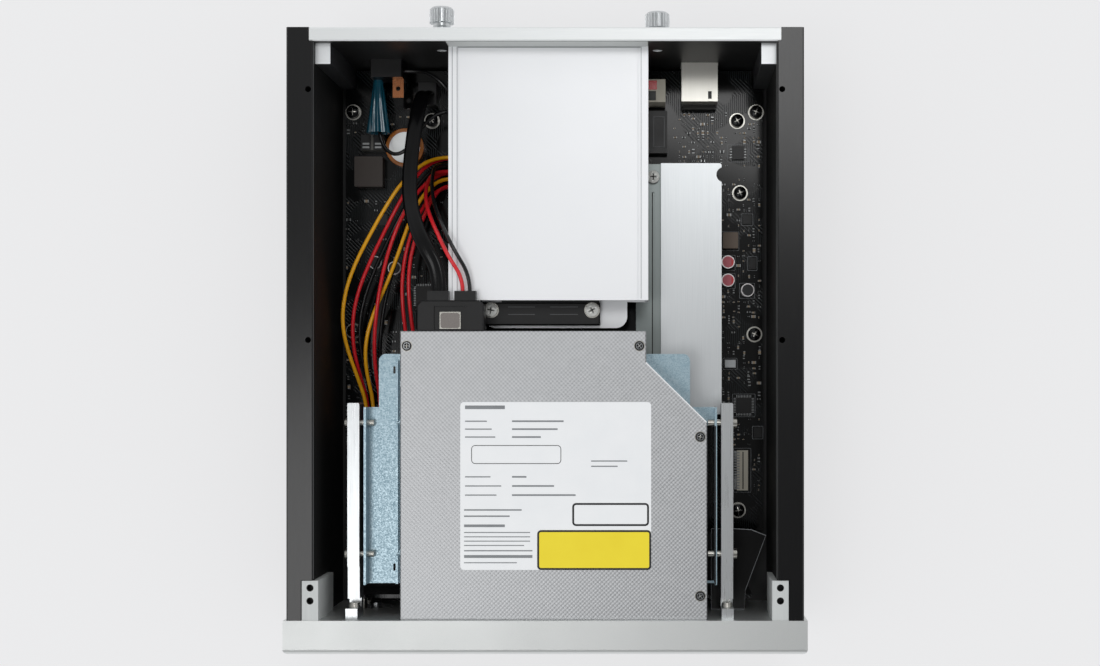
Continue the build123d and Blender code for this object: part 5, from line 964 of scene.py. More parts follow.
@dataclass
class CircuitBoard:
    """Small parts, lands, leads and marks on the main board."""

    top: float = BOARD_TOP
    land_radii: tuple[float, float] = (2.9, 3.55)
    land_height: float = 0.08
    screw_places: tuple[Spot, ...] = (
        (-90.7, 98.7), (-55.1, 94.8), (-90.5, -0.1), (82.7, 94.8), (91.2, 98.7),
        (84.0, 62.2), (90.5, -1.6), (83.1, -81.0), (-83.1, -81.0),
    )
    part_zones: tuple[tuple[float, float, float, float, float], ...] = (
        (76.5, 94.0, -72.0, 70.0, 2.3),
        (52.5, 94.0, 74.5, 99.5, 2.1),
        (-93.0, -48.0, -30.0, 62.0, 4.2),
        (-93.0, -60.0, 90.0, 101.0, 3.4),
    )
    keep_clear: tuple[Box, ...] = (
        (79.5, 40.5, 8.2, 8.6), (78.4, 30.7, 7.0, 7.0), (78.4, 22.5, 7.0, 7.0), (87.2, 18.1, 7.0, 7.0),
        (83.1, 80.2, 9.6, 8.0), (79.5, -14.9, 6.6, 5.2), (87.2, 50.2, 5.4, 5.4), (89.6, 30.4, 4.4, 6.4),
        (85.7, -33.7, 10.4, 10.4), (92.0, -46.0, 4.9, 5.9), (85.0, -63.0, 8.0, 20.0), (-79.9, 30.4, 7.0, 7.0),
        (-71.3, 28.0, 7.0, 7.0), (-86.7, -18.9, 9.4, 5.4), (-57.8, 15.6, 12.4, 12.4), (-77.0, 50.2, 5.4, 6.4),
        (46.8, 88.9, 10.0, 21.0), (-82.7, 71.1, 14.0, 15.0), (-66.8, 82.3, 18.0, 18.0), (-81.2, 84.2, 11.5, 8.0),
        (-56.0, 105.6, 9.5, 11.5),
    )
    part_sizes: tuple[tuple[float, float, float], ...] = ((1.0, 0.5, 0.4), (1.6, 0.8, 0.6), (2.0, 1.25, 0.8))
    size_odds: tuple[float, float, float] = (0.5, 0.4, 0.1)
    upright_odds: float = 0.5
    ceramic_odds: float = 0.45
    place_odds: float = 0.5
    jitter: float = 0.12
    part_clearance: float = 0.9
    screw_clearance: float = 1.2
    end_share: float = 0.24
    ease: float = 0.06
    seed: int = 11
    leaded_chips: tuple[tuple[float, float, float, float, int, int], ...] = (
        (83.1, 80.2, 5.3, 6.0, 4, 0),
        (85.7, -33.7, 7.0, 7.0, 10, 10),
        (-57.8, 15.6, 9.0, 9.0, 12, 12),
        (-86.7, -18.9, 6.0, 4.0, 3, 0),
    )
    lead_size: tuple[float, float, float] = (1.1, 0.32, 0.3)
    lead_pitch: float = 0.62
    marked_caps: tuple[Spot, ...] = ((78.4, 30.7), (78.4, 22.5))
    plain_caps: tuple[Spot, ...] = ((87.2, 18.1), (-79.9, 30.4), (-71.3, 28.0))
    cap_top: float = 21.0
    cap_face_radius: float = 2.55
    flat_cable_socket: Box = (85.0, -63.0, 5.0, 18.0)
    flat_cable_pins: int = 16
    cap_steps: int = 48
    mark_degrees: float = 55
    mark_steps: int = 20
    plug_ease: float = 0.1
    red_plug: tuple[Point, Point] = ((41.2, 106.3, 29.6), (46.4, 110.3, 29.9))
    black_plug: tuple[Point, Point] = ((40.8, 101.5, 29.6), (46.0, 105.6, 29.9))
    lid_ease: float = 0.15
    chip_lid: tuple[Point, Point] = ((76.95, -16.75, 17.2), (82.05, -13.05, 17.5))
    printed: int = 11
    print_line: float = 0.16
    print_height: float = 0.03
    print_rounds: tuple[float, float] = (0.4, 0.3)

    def _places(self) -> np.ndarray:
        """Scatters places on a jittered grid in each zone, clear of the larger parts.

        Returns:
            One row of X and Y a place.
        """
        chance = np.random.default_rng(self.seed)
        found = []
        for left, right, front, rear, pitch in self.part_zones:
            grid = np.stack(np.meshgrid(np.arange(left, right, pitch), np.arange(front, rear, pitch)), axis=-1)
            spots = grid.reshape(-1, 2)
            spots = spots + chance.uniform(-self.jitter, self.jitter, spots.shape) * pitch
            found.append(spots[chance.random(len(spots)) < self.place_odds])
        spots = np.concatenate(found)
        clear = np.array(self.keep_clear)
        reach = clear[None, :, 2:] / 2 + self.part_clearance
        blocked = (np.abs(spots[:, None] - clear[None, :, :2]) < reach).all(axis=2).any(axis=1)
        screws = np.array(self.screw_places)
        reach = self.land_radii[1] + self.screw_clearance
        near = (np.linalg.norm(spots[:, None] - screws[None], axis=2) < reach).any(axis=1)
        return spots[~(blocked | near)]

    def small_parts(self) -> None:
        """Chip resistors and ceramic capacitors: a body between two tinned ends."""
        spots = self._places()
        chance = np.random.default_rng(self.seed + 1)
        size = np.array(self.part_sizes)[chance.choice(len(self.part_sizes), len(spots), p=self.size_odds)]
        upright = chance.random(len(spots)) < self.upright_odds
        size[upright] = size[upright][:, [1, 0, 2]]
        axis = np.where(upright, 1, 0)
        base = at_height(spots, self.top)
        half = size * [0.5, 0.5, 0]
        low, high = base - half, base + half + size * [0, 0, 1]
        row = np.arange(len(spots))
        cut = size[row, axis] * self.end_share
        inner_low, inner_high = low.copy(), high.copy()
        inner_low[row, axis] += cut
        inner_high[row, axis] -= cut
        inner_high[:, 2] -= self.ease
        first_high, last_low = high.copy(), low.copy()
        first_high[row, axis] = low[row, axis] + cut
        last_low[row, axis] = high[row, axis] - cut
        tan = chance.random(len(spots)) < self.ceramic_odds
        make_piece("ceramic_parts", eased_blocks(inner_low[tan], inner_high[tan], self.ease), TAN_CERAMIC)
        make_piece("resistor_parts", eased_blocks(inner_low[~tan], inner_high[~tan], self.ease), BLACK_NYLON)
        ends = eased_blocks(np.concatenate([low, last_low]), np.concatenate([first_high, high]), self.ease)
        make_piece("part_ends", ends, TINNED)

    def screw_lands(self) -> None:
        """Bare tinned rings under the board screws."""
        profile = band(*self.land_radii, 0, self.land_height)
        make_piece("screw_lands", turned_rings(at_height(self.screw_places, self.top), profile), BRIGHT_PLATE)

    def chip_leads(self) -> None:
        """Gull-wing leads in even rows along the sides of the larger chips."""
        reach, width, rise = self.lead_size
        low, high = [], []
        for x, y, wide, deep, beside, behind in self.leaded_chips:
            run, cross = (
                (np.arange(count) - (count - 1) / 2) * min(self.lead_pitch * 2, span / max(count, 1))
                for count, span in ((beside, deep), (behind, wide))
            )
            for side in (-1, 1):
                near, far = sorted((x + side * wide / 2, x + side * (wide / 2 + reach)))
                low.append(rows(near, y + run - width / 2, self.top))
                high.append(rows(far, y + run + width / 2, self.top + rise))
                near, far = sorted((y + side * deep / 2, y + side * (deep / 2 + reach)))
                low.append(rows(x + cross - width / 2, near, self.top))
                high.append(rows(x + cross + width / 2, far, self.top + rise))
        x, y, wide, deep = self.flat_cable_socket
        pins = y + (np.arange(self.flat_cable_pins) + 0.5 - self.flat_cable_pins / 2) * deep / self.flat_cable_pins
        low.append(rows(x - wide / 2 - reach, pins - width, self.top))
        high.append(rows(x - wide / 2, pins + width, self.top + rise))
        make_piece("chip_leads", eased_blocks(np.concatenate(low), np.concatenate(high), self.ease / 2), TINNED)

    def cap_marks(self) -> None:
        """Printed tops of the can capacitors: a face disc and a darker segment of it."""
        reach = math.radians(self.mark_degrees)
        angles = turn_angles(self.cap_steps), np.linspace(-reach, reach, self.mark_steps)
        disc, segment = (self.cap_face_radius * np.c_[np.cos(angle), np.sin(angle)] for angle in angles)
        top, film = self.cap_top, self.land_height / 2
        faces = [thin_plate(disc + place, top, top + film) for place in self.marked_caps]
        rose = [thin_plate(segment + place, top + film, top + 2 * film) for place in self.marked_caps]
        dark = [thin_plate(disc + place, top, top + film) for place in self.plain_caps]
        make_piece("rose_cap_faces", join(faces), ROSE_INK)
        make_piece("red_cap_marks", join(rose), RED_VINYL)
        make_piece("black_cap_faces", join(dark), BLACK_INK)

    def socket_marks(self) -> None:
        """Plugs in the pale header, the lid of the pale chip and plain print frames."""
        for name, corners, ease, finish in (
            ("header_red_plug", self.red_plug, self.plug_ease, RED_VINYL),
            ("header_black_plug", self.black_plug, self.plug_ease, BLACK_NYLON),
            ("pale_chip_lid", self.chip_lid, self.lid_ease, CAST_CASE),
        ):
            make_piece(name, eased_blocks(*corners, ease), finish)
        middle, size = np.split(np.array(self.keep_clear[: self.printed]), 2, axis=1)
        line, (outer_round, inner_round) = self.print_line, self.print_rounds
        frames = [
            frame_plate(
                rounded_outline(low, high, outer_round),
                rounded_outline(low + line, high - line, inner_round),
                self.top,
                self.top + self.print_height,
            )
            for low, high in zip(middle - size / 2, middle + size / 2)
        ]
        make_piece("board_print", join(frames), GREY_INK)

    def build(self) -> None:
        """Builds everything that sits on the board."""
        self.small_parts()
        self.screw_lands()
        self.chip_leads()
        self.cap_marks()
        self.socket_marks()


@dataclass
class DriveCover:
    """Bare sticker, painted shade and highlights round the screw cups, the plug's latch window and a painted edge
    highlight on the disc drive.
    """

    top: float = DRIVE_TOP
    film: float = 0.05
    label_low: tuple[float, float] = (-35.6, -101.6)
    label_high: tuple[float, float] = (44.0, -31.6)
    label_round: float = 1.6
    least_round: float = 0.3
    yellow_low: tuple[float, float] = (-3.5, -101.6)
    yellow_high: tuple[float, float] = (44.0, -85.0)
    box_low: tuple[float, float] = (11.1, -83.3)
    box_high: tuple[float, float] = (43.1, -73.7)
    line: float = 0.8
    rules: tuple[Box, ...] = (
        (-33.6, -17.0, -33.8, 1.5), (-33.6, -24.5, -39.6, 0.5), (-14.0, 7.5, -39.6, 0.7),
        (-33.6, -22.5, -42.9, 0.5), (-14.0, 5.0, -42.9, 0.7), (-33.6, -21.0, -46.2, 0.5),
        (-14.0, -2.0, -46.2, 0.7), (-33.6, -23.0, -62.8, 0.5), (-14.0, -8.0, -62.8, 0.7),
        (-33.6, -18.5, -66.6, 0.5), (-14.0, 3.5, -66.6, 0.7), (-33.6, -20.5, -70.4, 0.5),
        (-14.0, 12.5, -70.4, 0.7), (-34.0, -10.0, -76.6, 0.6), (-34.0, -15.0, -79.2, 0.6),
        (-34.0, -17.0, -83.2, 1.1), (-34.0, -6.5, -86.0, 0.4), (-34.0, -6.5, -87.8, 0.4),
        (-34.0, -6.5, -89.6, 0.4), (-34.0, -9.0, -91.4, 0.4), (-34.0, -5.5, -93.6, 0.5),
        (-34.0, -5.5, -96.0, 1.2), (-34.0, -12.0, -98.6, 0.4), (19.0, 34.0, -56.2, 0.5), (19.0, 30.0, -58.4, 0.5),
    )
    blank_box: Box = (-31.0, 6.5, -57.4, -49.6)
    screw_places: tuple[Spot, ...] = COVER_SCREWS
    cup_radii: tuple[float, float, float] = (1.4, 2.05, 2.3)
    latch_low: tuple[float, float] = (-44.1, -0.7)
    latch_high: tuple[float, float] = (-36.1, 5.7)
    latch_top: float = 67.0
    latch_round: float = 1.1
    slant: tuple[Spot, Spot] = ((41.9, -14.9), (67.3, -39.9))
    slant_line: float = 0.5

    def _border(self, low: Sequence[float], high: Sequence[float], line: float, level: int) -> Mesh:
        """Round-cornered frame of one line width inside the given corners, some films up."""
        low, high = np.array(low), np.array(high)
        outer = rounded_outline(low, high, self.label_round)
        inner = rounded_outline(low + line, high - line, max(self.label_round - line, self.least_round))
        return frame_plate(outer, inner, self.top + level * self.film, self.top + (level + 1) * self.film)

    def label(self) -> None:
        """White sticker with plain rules, empty boxes and a bare yellow field."""
        paper = rounded_outline(self.label_low, self.label_high, self.label_round)
        make_piece("label_paper", thin_plate(paper, self.top, self.top + self.film), LABEL_PAPER)
        left, right, middle, line = np.array(self.rules).T
        base = self.top + self.film
        low = rows(left, middle - line / 2, base)
        high = rows(right, middle + line / 2, base + self.film)
        make_piece("label_rules", eased_blocks(low, high, self.film / 5), GREY_INK)
        left, right, front, rear = self.blank_box
        frames = [
            self._border(self.box_low, self.box_high, self.line, 1),
            self._border((left, front), (right, rear), self.line / 3, 1),
            self._border(self.yellow_low, self.yellow_high, self.line, 2),
        ]
        make_piece("label_frames", join(frames), BLACK_INK)
        field_plan = rounded_outline(self.yellow_low, self.yellow_high, self.label_round)
        make_piece("label_yellow_field", thin_plate(field_plan, base, self.top + 2 * self.film), YELLOW_INK)

    def screw_cup_shade(self) -> None:
        """Painted shade in a ring round each cover screw, and a painted highlight on the pressed rim round that."""
        inner, middle, outer = self.cup_radii
        centres = at_height(self.screw_places, self.top)
        dark = band(inner, middle, 0, self.film)
        bright = band(middle, outer, 0, self.film * 2)
        # A black ring as painted shade in the cup, a bright ring as a painted highlight on its rim.
        make_piece("screw_cup_shade", turned_rings(centres, dark), BLACK_INK)
        make_piece("screw_rim_highlight", turned_rings(centres, bright), BRIGHT_PLATE)

    def latch_plate(self) -> None:
        """Steel plate that fills the plug's latch clip."""
        plan = rounded_outline(self.latch_low, self.latch_high, self.latch_round)
        make_piece("latch_plate", thin_plate(plan, self.latch_top, self.latch_top + self.film), SPRING_STEEL)

    def slant_edge_highlight(self) -> None:
        """Painted highlight along the cut corner: the slant and its copy moved in by the line's width."""
        start, end = np.array(self.slant)
        along = (end - start) / np.linalg.norm(end - start)
        inward = np.array([along[1], -along[0]]) * self.slant_line
        plan = np.array([start + inward, end + inward, end, start])
        make_piece("slant_edge_highlight", thin_plate(plan, self.top - self.film, self.top + self.film), BRIGHT_EDGE_HIGHLIGHT)

    def build(self) -> None:
        """Builds the label, the painted shade and highlight round the screws, the latch plate and the painted edge
        highlight.
        """
        self.label()
        self.screw_cup_shade()
        self.latch_plate()
        self.slant_edge_highlight()


@dataclass
class ScrewHeads:
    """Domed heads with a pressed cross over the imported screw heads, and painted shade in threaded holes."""

    board_z: float = BOARD_TOP
    board_places: tuple[Spot, ...] = (
        (-90.71, 98.71), (-55.1, 94.77), (-90.52, -0.13), (82.72, 94.77), (91.2, 98.71),
        (83.97, 62.23), (90.52, -1.61), (83.11, -80.98), (-83.11, -80.98),
    )
    spreader_z: float = 31.0
    spreader_places: tuple[Spot, ...] = ((44.8, 67.27), (44.8, -31.56))
    socket_z: float = 50.0
    socket_places: tuple[Spot, ...] = ((-24.8, 7.6), (18.6, 7.6))
    head_radius: float = 2.8
    head_wall: float = 1.95
    head_dome: float = 0.75
    washer_radius: float = 3.35
    washer_height: float = 0.35
    cover_z: float = DRIVE_TOP
    cover_places: tuple[Spot, ...] = COVER_SCREWS
    cover_radius: float = 1.53
    cover_wall: float = 0.35
    cover_dome: float = 0.4
    cross_depth_share: float = 0.85
    arm_shares: tuple[float, float] = (0.17, 0.66)
    arm_slope: float = 0.08
    floor_limit: float = 0.9
    head_sides: int = 56
    head_rings: int = 20
    middle_share: float = 0.05
    head_turn: float = 0.7
    hole_places: tuple[Spot, ...] = (
        (-97.7, -108.8), (-97.7, -114.2), (97.7, -108.8), (97.7, -114.2),
    )
    hole_top: float = 71.6
    hole_radius: float = 1.49
    hole_depth: float = 4.0
    hole_sides: int = 24
    hole_lip: float = 0.2
    hole_wall: float = 0.3
    hole_middle: float = 0.02

    def _heads(self, name: str, places: np.ndarray, sizes: Point, skin: Finish, floor: Finish) -> None:
        """Domed heads: height over a disc of shares of the radius, less the cross.

        At share s of the radius the height is the wall plus the dome times one minus s squared. Inside
        either arm of the cross it is lower by cross_depth_share of the dome, and the arm's sides slope.

        Args:
            name: the piece's name.
            places: one row of X, Y, Z a head, at the foot of the head.
            sizes: radius, height of the wall, height of the dome.
            skin: finish of the head.
            floor: finish of the cross's floor.
        """
        radius, wall, dome = sizes
        sides, rings = self.head_sides, self.head_rings
        share = np.r_[1.0, np.linspace(1.0, self.middle_share, rings)][:, None]
        angle = turn_angles(sides)[None]
        x, y = share * np.cos(angle), share * np.sin(angle)
        half_width, half_length = self.arm_shares
        arms = [
            np.clip((half_width - np.abs(across)) / self.arm_slope, 0, 1)
            * np.clip((half_length - np.abs(along)) / self.arm_slope, 0, 1)
            for across, along in ((x, y), (y, x))
        ]
        cross = np.maximum(*arms)
        height = wall + dome * (1 - share**2) - dome * self.cross_depth_share * cross
        height[0] = 0
        spin = self.head_turn * np.arange(len(places))[:, None, None]
        foot_x, foot_y, foot_z = places.T[..., None, None]
        heads = rows(
            foot_x + radius * (x * np.cos(spin) - y * np.sin(spin)),
            foot_y + radius * (x * np.sin(spin) + y * np.cos(spin)),
            foot_z + height,
        )
        quads = ring_faces(rings + 1, sides)
        low = (cross.ravel()[quads] > self.floor_limit).all(axis=1)
        caps = np.stack([np.arange(sides)[::-1], rings * sides + np.arange(sides)])
        step = (rings + 1) * sides
        faces = repeat_faces(quads, len(places), step) + repeat_faces(caps, len(places), step)
        piece = make_piece(name, (heads.reshape(-1, 3), faces), skin, smooth=True)
        piece.data.materials.append(floor.material())
        index = np.r_[np.tile(low, len(places)), np.tile([False, True], len(places))].astype(np.int32)
        piece.data.polygons.foreach_set("material_index", index)

    def build(self) -> None:
        """Builds the heads, the washers under two of them and the painted shade in the holes of the brackets."""
        sizes = (self.head_radius, self.head_wall, self.head_dome)
        board = at_height(self.board_places, self.board_z)
        sockets = at_height(self.socket_places, self.socket_z)
        bright = np.concatenate([at_height(self.spreader_places, self.spreader_z), sockets])
        cover = at_height(self.cover_places, self.cover_z)
        # Bright plate on the floor of the black heads' cross is a painted highlight; painted shade fills the cross of
        # the bright heads.
        self._heads("board_screw_heads", board, sizes, BLACK_NICKEL, BRIGHT_PLATE)
        self._heads("bright_screw_heads", bright, sizes, NICKEL_HEAD, PAINTED_SHADE)
        cover_sizes = (self.cover_radius, self.cover_wall, self.cover_dome)
        self._heads("cover_screw_heads", cover, cover_sizes, BLACK_NICKEL, BRIGHT_PLATE)
        washer = band(self.head_radius, self.washer_radius, 0, self.washer_height)
        make_piece("socket_washers", turned_rings(sockets, washer), BRIGHT_PLATE)
        outer, inner, middle = self.hole_radius, self.hole_radius - self.hole_wall, self.hole_middle
        low, high, floor = -self.hole_depth, -self.hole_lip, self.hole_wall - self.hole_depth
        cup = [(outer, low), (outer, high), (inner, high), (inner, floor), (middle, floor), (middle, low)]
        holes = at_height(self.hole_places, self.hole_top)
        # Near-black liners in the bracket holes: painted shade.
        make_piece("bracket_hole_shade", turned_rings(holes, cup, self.hole_sides), PAINTED_SHADE)


@dataclass
class Connectors:
    """Contacts, rims and slots of the connectors."""

    contact_x: tuple[float, float] = (81.3, 83.7)
    contact_run: tuple[float, float] = (-71.0, -55.0)
    contact_count: int = 14
    contact_width: float = 0.6
    contact_z: tuple[float, float] = (15.7, 17.75)
    latch: tuple[Point, Point] = ((85.0, -71.4, 17.55), (85.5, -54.6, 17.66))
    rim_middle: tuple[float, float] = (47.4, 88.85)
    rim_half: tuple[float, float] = (2.6, 7.0)
    rim_width: float = 0.5
    rim_z: tuple[float, float] = (21.55, 21.85)
    cap_blocks: tuple[tuple[Point, Point], ...] = (
        ((-86.1, 80.85, 21.15), (-81.7, 87.5, 21.5)),
        ((-80.6, 80.85, 21.15), (-76.25, 87.5, 21.5)),
    )
    stripe_y: tuple[float, ...] = (81.6, 83.2)
    stripe_inset: float = 0.7
    stripe_width: float = 0.8
    stripe_height: float = 0.1
    slots: tuple[Box, ...] = ((-17.5, -6.0, 5.6, 9.2), (0.5, 12.5, 5.6, 9.2))
    slot_line: float = 0.4
    slot_z: tuple[float, float] = (49.95, 50.08)
    ease: float = 0.05

    def contacts(self) -> None:
        """Row of contacts along the flat cable's socket, and painted shade in the slot of its latch."""
        middle = np.linspace(*self.contact_run, self.contact_count)
        left, right = self.contact_x
        low_z, high_z = self.contact_z
        half = self.contact_width / 2
        blocks = eased_blocks(rows(left, middle - half, low_z), rows(right, middle + half, high_z), self.ease)
        make_piece("socket_contacts", blocks, TINNED)
        make_piece("socket_latch_slot_shade", eased_blocks(*self.latch, self.ease / 2), PAINTED_SHADE)

    def rim(self) -> None:
        """Rim round the mouth of the tall black connector: four bars that meet at the corners, grey as a painted
        highlight.
        """
        middle, half = np.array(self.rim_middle), np.array(self.rim_half)
        line, (low_z, high_z) = self.rim_width, self.rim_z
        x, y = half
        low = np.array([(-x, -y), (-x, y - line), (-x, line - y), (x - line, line - y)]) + middle
        high = np.array([(x, line - y), (x, y), (line - x, y - line), (x, y - line)]) + middle
        bars = eased_blocks(at_height(low, low_z), at_height(high, high_z), self.ease)
        make_piece("connector_rim_highlight", bars, GREY_EDGE_HIGHLIGHT)

    def headers(self) -> None:
        """Two black housings on the header by the inlet, each with two pale bars."""
        low, high = (np.array(corners) for corners in zip(*self.cap_blocks))
        make_piece("header_housings", eased_blocks(low, high, self.ease), BLACK_NYLON)
        starts = np.array(self.stripe_y)
        count = len(starts)
        left, right = np.repeat(low[:, 0], count), np.repeat(high[:, 0], count)
        front = np.tile(starts, len(low))
        top = np.repeat(high[:, 2], count)
        bars = eased_blocks(
            rows(left + self.stripe_inset, front, top - self.ease),
            rows(right - self.stripe_inset, front + self.stripe_width, top + self.stripe_height),
            self.ease / 2,
        )
        make_piece("header_bars", bars, TINNED)

    def socket_lines(self) -> None:
        """Painted highlights along the edges of the two long slots in the storage drive's socket, each two thin lines
        along X.
        """
        left, right, front, rear = np.array(self.slots).T
        line, (low_z, high_z) = self.slot_line, self.slot_z
        starts = np.r_[front, rear - line]
        low = rows(np.tile(left, 2), starts, low_z)
        high = rows(np.tile(right, 2), starts + line, high_z)
        make_piece("socket_slot_highlights", eased_blocks(low, high, self.ease / 2), GREY_EDGE_HIGHLIGHT)

    def build(self) -> None:
        """Builds contacts, rim, header housings and slot lines."""
        self.contacts()
        self.rim()
        self.headers()
        self.socket_lines()


@dataclass
class TrayMechanism:
    """Lens on the laser sled, grip of the spindle hub and thread of the lead screw."""

    lens_place: Point = (-13.67, -83.07, 62.4)
    lens_radius: float = 1.75
    lens_height: float = 0.85
    lens_steps: int = 14
    lens_middle: float = 0.03
    hub_place: Point = (3.3, -66.1, 64.2)
    hub_sides: int = 72
    grip_radii: tuple[float, float] = (9.4, 13.2)
    grip_height: float = 0.45
    boss_radius: float = 6.9
    ball_radius: float = 0.95
    ball_height: float = 1.15
    ball_count: int = 3
    ball_turn: float = 0.5
    ball_reach: float = 0.49 * math.pi
    ball_steps: int = 15
    ball_sides: int = 24
    cap_radii: tuple[float, float] = (1.2, 4.6)
    cap_low: float = 2.3
    cap_height: float = 0.2
    screw_ends: tuple[Spot, Spot] = ((14.68, -80.74), (-28.87, -124.29))
    screw_z: float = 60.1
    screw_radius: float = 1.2
    thread_depth: float = 0.28
    thread_pitch: float = 3.0
    thread_steps: int = 18
    thread_sides: int = 24

    def lens(self) -> None:
        """Dome over the sled's bore: height falls with the square of the radius."""
        share = np.linspace(1, self.lens_middle, self.lens_steps)
        dome = np.c_[self.lens_radius * share, self.lens_height * (1 - share**2)]
        profile = np.r_[[(self.lens_middle * self.lens_radius, 0.0)], dome]
        make_piece("sled_lens", turned_rings(self.lens_place, profile), COATED_GLASS, "pickup", True)

    def hub_grip(self) -> None:
        """Rubber ring on the hub's disc, a steel cap and three steel balls round the boss.

        A ball is a circle of radius and height turned about its own upright axis.
        """
        ring = band(*self.grip_radii, 0, self.grip_height)
        cap = band(*self.cap_radii, self.cap_low, self.cap_low + self.cap_height)
        for name, section, finish in (("hub_grip_ring", ring, RUBBER), ("hub_steel_cap", cap, BRIGHT_PLATE)):
            make_piece(name, turned_rings(self.hub_place, section, self.hub_sides), finish, "spindle")
        turn = np.arange(self.ball_count) * 2 * np.pi / self.ball_count + self.ball_turn
        centres = rows(self.boss_radius * np.cos(turn), self.boss_radius * np.sin(turn), self.ball_height)
        sweep = np.linspace(-self.ball_reach, self.ball_reach, self.ball_steps)
        ball = self.ball_radius * np.c_[np.cos(sweep), np.sin(sweep)]
        balls = turned_rings(centres + self.hub_place, ball, self.ball_sides)
        make_piece("hub_clamp_balls", balls, BRIGHT_PLATE, "spindle", True)

    def thread(self) -> None:
        """Threaded rod: at angle a and distance t the radius dips by the thread's depth.

        The dip is half of one minus the cosine of a less a full turn for each pitch of t.
        """
        start, end = (np.array([*point, self.screw_z]) for point in self.screw_ends)
        reach = np.linalg.norm(end - start)
        along = (end - start) / reach
        up = np.array([0.0, 0.0, 1.0])
        side = np.cross(along, up)
        distance = np.linspace(0, reach, int(reach / self.thread_pitch * self.thread_steps))[:, None]
        angle = turn_angles(self.thread_sides)[None]
        dip = (1 - np.cos(angle - 2 * np.pi * distance / self.thread_pitch)) / 2
        radius = (self.screw_radius - self.thread_depth * dip)[..., None]
        skin = start + distance[..., None] * along + radius * (
            np.cos(angle)[..., None] * side + np.sin(angle)[..., None] * up
        )
        count, around = skin.shape[:2]
        quads = ring_faces(count, around)[:, [0, 3, 2, 1]].tolist()
        caps = [np.arange(around).tolist(), (np.arange(around)[::-1] + (count - 1) * around).tolist()]
        rod = make_piece("lead_screw_thread", (skin.reshape(-1, 3), quads + caps), BRIGHT_PLATE, "feed_screw", True)
        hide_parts("lead_screw")

    def build(self) -> None:
        """Builds the lens, the hub's grip and the thread."""
        self.lens()
        self.hub_grip()
        self.thread()


@dataclass
class SeamLines:
    """Painted shade along the folds of the bay's cover, its rear flange, shades in grooves and on a flange, and
    painted highlights along the side panels' edges.
    """

    bay_top: float = 61.6
    bay_front: float = 11.9
    bay_rear: float = 118.2
    bay_lines: tuple[Spot, ...] = ((-39.95, 0.3), (-37.9, 0.25), (39.75, 0.3))
    groove: tuple[float, float, float] = (44.45, -24.8, 60.5)
    groove_width: float = 0.45
    groove_floor: float = 30.4
    film: float = 0.03
    panel_edges: tuple[float, float] = (-96.22, 96.22)
    panel_run: tuple[float, float] = (-105.0, 118.0)
    panel_line: float = 0.2
    panel_top: float = 71.94
    bay_flange: tuple[Point, Point] = ((-41.4, 118.22, 61.62), (42.6, 118.3, 71.2))
    bay_rear_fold_shade: tuple[Point, Point] = ((-37.6, 117.75, 61.58), (39.5, 118.2, 61.64))
    flange_shade: tuple[Point, Point] = ((70.65, -108.6, 62.85), (71.3, -41.8, 62.93))

    def build(self) -> None:
        """Builds thin straight lines and strips, each an eased block."""
        ease = self.film / 3
        edges = np.array(self.panel_edges)
        start, end = self.panel_run
        half = self.panel_line / 2
        low = rows(edges - half, start, self.panel_top)
        high = rows(edges + half, end, self.panel_top + self.film * 2)
        # Grey lines: painted highlights along the side panels' inner top edges.
        make_piece("panel_edge_highlights", eased_blocks(low, high, ease), GREY_EDGE_HIGHLIGHT)
        middle, width = np.array(self.bay_lines).T
        low = rows(middle - width / 2, self.bay_front, self.bay_top)
        high = rows(middle + width / 2, self.bay_rear, self.bay_top + self.film)
        # Grey lines: painted shade along the folds of the bay's cover.
        make_piece("bay_fold_shade", eased_blocks(low, high, ease), CAST_CASE)
        x, front, rear = self.groove
        half = self.groove_width / 2
        groove = ((x - half, front, self.groove_floor), (x + half, rear, self.groove_floor + self.film))
        # Painted shade in the spreader's groove, on the rear fold and on the right flange's top; the pale rear flange
        # is partly an upturned flange and partly a painted reflection of the bay cover on the rear panel.
        for name, corners, finish in (
            ("groove_shade", groove, PAINTED_SHADE),
            ("bay_rear_flange_and_reflection", self.bay_flange, TUMBLED_BRACKET),
            ("bay_rear_fold_shade", self.bay_rear_fold_shade, CAST_CASE),
            ("flange_shade", self.flange_shade, PAINTED_SHADE),
        ):
            make_piece(name, eased_blocks(*corners, ease), finish)


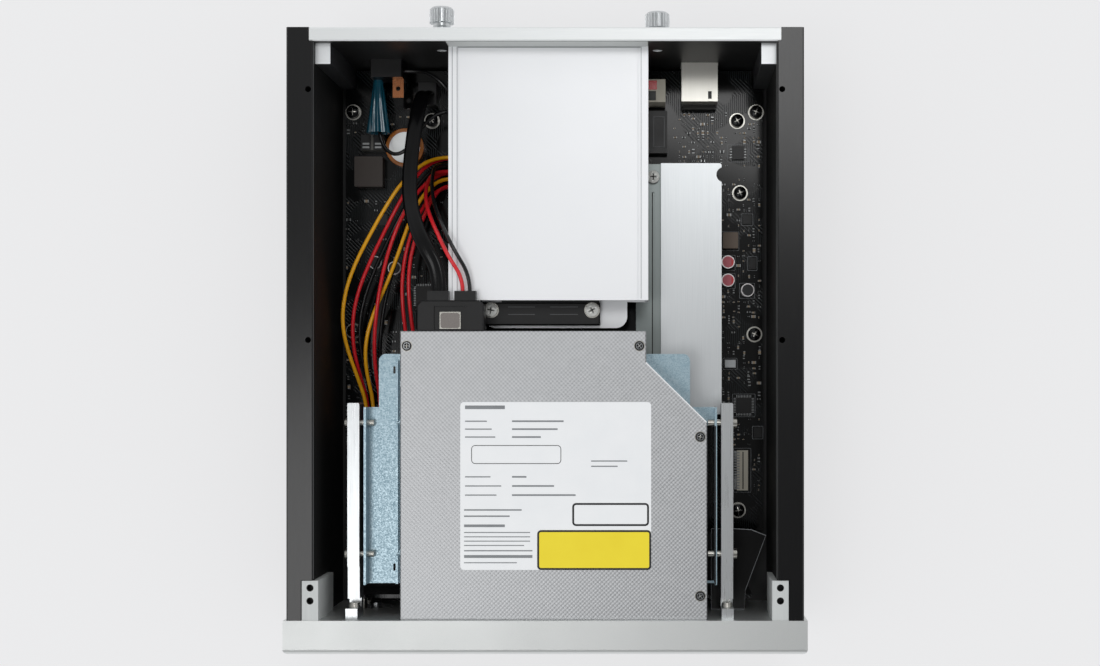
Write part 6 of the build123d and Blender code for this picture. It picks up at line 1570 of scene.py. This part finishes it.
@dataclass
class InletSleeve:
    """Pleated vinyl sleeve that flares from the power inlet towards the front."""

    axis_x: float = -77.2
    axis_z: float = 28.0
    rear_y: float = 110.6
    length: float = 23.4
    small_radius: float = 2.1
    large_radius: float = 5.3
    wall: float = 0.5
    pleats: int = 11
    pleat_depth: float = 0.9
    pleat_turn: float = 1.6
    pleat_lean: float = 2.2
    pleat_sway: float = 0.8
    sway_waves: int = 3
    steps_along: int = 48
    steps_round: int = 96

    def build(self) -> None:
        """Outer and inner skins whose radius grows along the axis and dips in the pleats.

        At share t along the axis and angle a the radius is the straight flare less
        pleat_depth times t times half of one minus the cosine of pleats times a, turned a
        little along the axis so that the pleats lie askew.
        """
        share = np.linspace(0, 1, self.steps_along)[:, None]
        angle = turn_angles(self.steps_round)[None]
        flare = self.small_radius + (self.large_radius - self.small_radius) * share
        sway = self.pleat_sway * np.sin(self.sway_waves * angle)
        wave = (1 - np.cos(self.pleats * angle + self.pleat_lean * share + sway + self.pleat_turn)) / 2
        outer = flare - self.pleat_depth * share * wave
        place = self.rear_y - self.length * share
        loop = np.concatenate(
            [
                rows(self.axis_x + radius * np.cos(angle), y, self.axis_z + radius * np.sin(angle))
                for radius, y in ((outer, place), ((outer - self.wall)[::-1], place[::-1]))
            ]
        )
        faces = ring_faces(*loop.shape[:2], closed=True).tolist()
        sleeve = make_piece("inlet_sleeve_pleated", (loop.reshape(-1, 3), faces), TEAL_VINYL, smooth=True)
        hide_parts("inlet_sleeve")


@dataclass
class InsulatingFilm:
    """Black film that lies from the back of the front panel over the front right corner."""

    outline: tuple[Spot, ...] = (
        (70.0, -122.3), (84.6, -122.3), (85.0, -114.0), (94.0, -89.9), (87.5, -87.3), (80.3, -86.9), (70.0, -86.9),
    )
    low: float = 40.0
    rise: float = 0.6
    thickness: float = 0.15
    rim: float = 0.35

    def _tilt(self, mesh: Mesh) -> Mesh:
        """Lifts a flat shape in proportion to its distance from the front panel."""
        vertices, faces = mesh
        front = min(y for _, y in self.outline)
        rear = max(y for _, y in self.outline)
        lifted = vertices.copy()
        lifted[:, 2] += self.rise * (vertices[:, 1] - front) / (rear - front)
        return lifted, faces

    def build(self) -> None:
        """Builds the film and a painted highlight along its cut edge."""
        plan = np.array(self.outline)
        middle = plan.mean(axis=0)
        away = plan - middle
        inner = middle + away * (1 - self.rim / np.linalg.norm(away, axis=1, keepdims=True))
        make_piece("front_film", self._tilt(thin_plate(plan, self.low, self.low + self.thickness)), BLACK_FILM)
        edge = frame_plate(plan, inner, self.low + self.thickness, self.low + self.thickness * 1.5)
        # Grey line: a painted highlight along the film's cut edge.
        make_piece("front_film_edge_highlight", self._tilt(edge), GREY_INK)


def main() -> None:
    logging.basicConfig(level=logging.INFO, format="%(message)s")
    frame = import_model()
    Studio().build()
    CaseDress().build(frame["nodes"])
    WireLoom().build()
    CircuitBoard().build()
    DriveCover().build()
    ScrewHeads().build()
    Connectors().build()
    TrayMechanism().build()
    SeamLines().build()
    InletSleeve().build()
    InsulatingFilm().build()


if __name__ == "__main__":
    main()
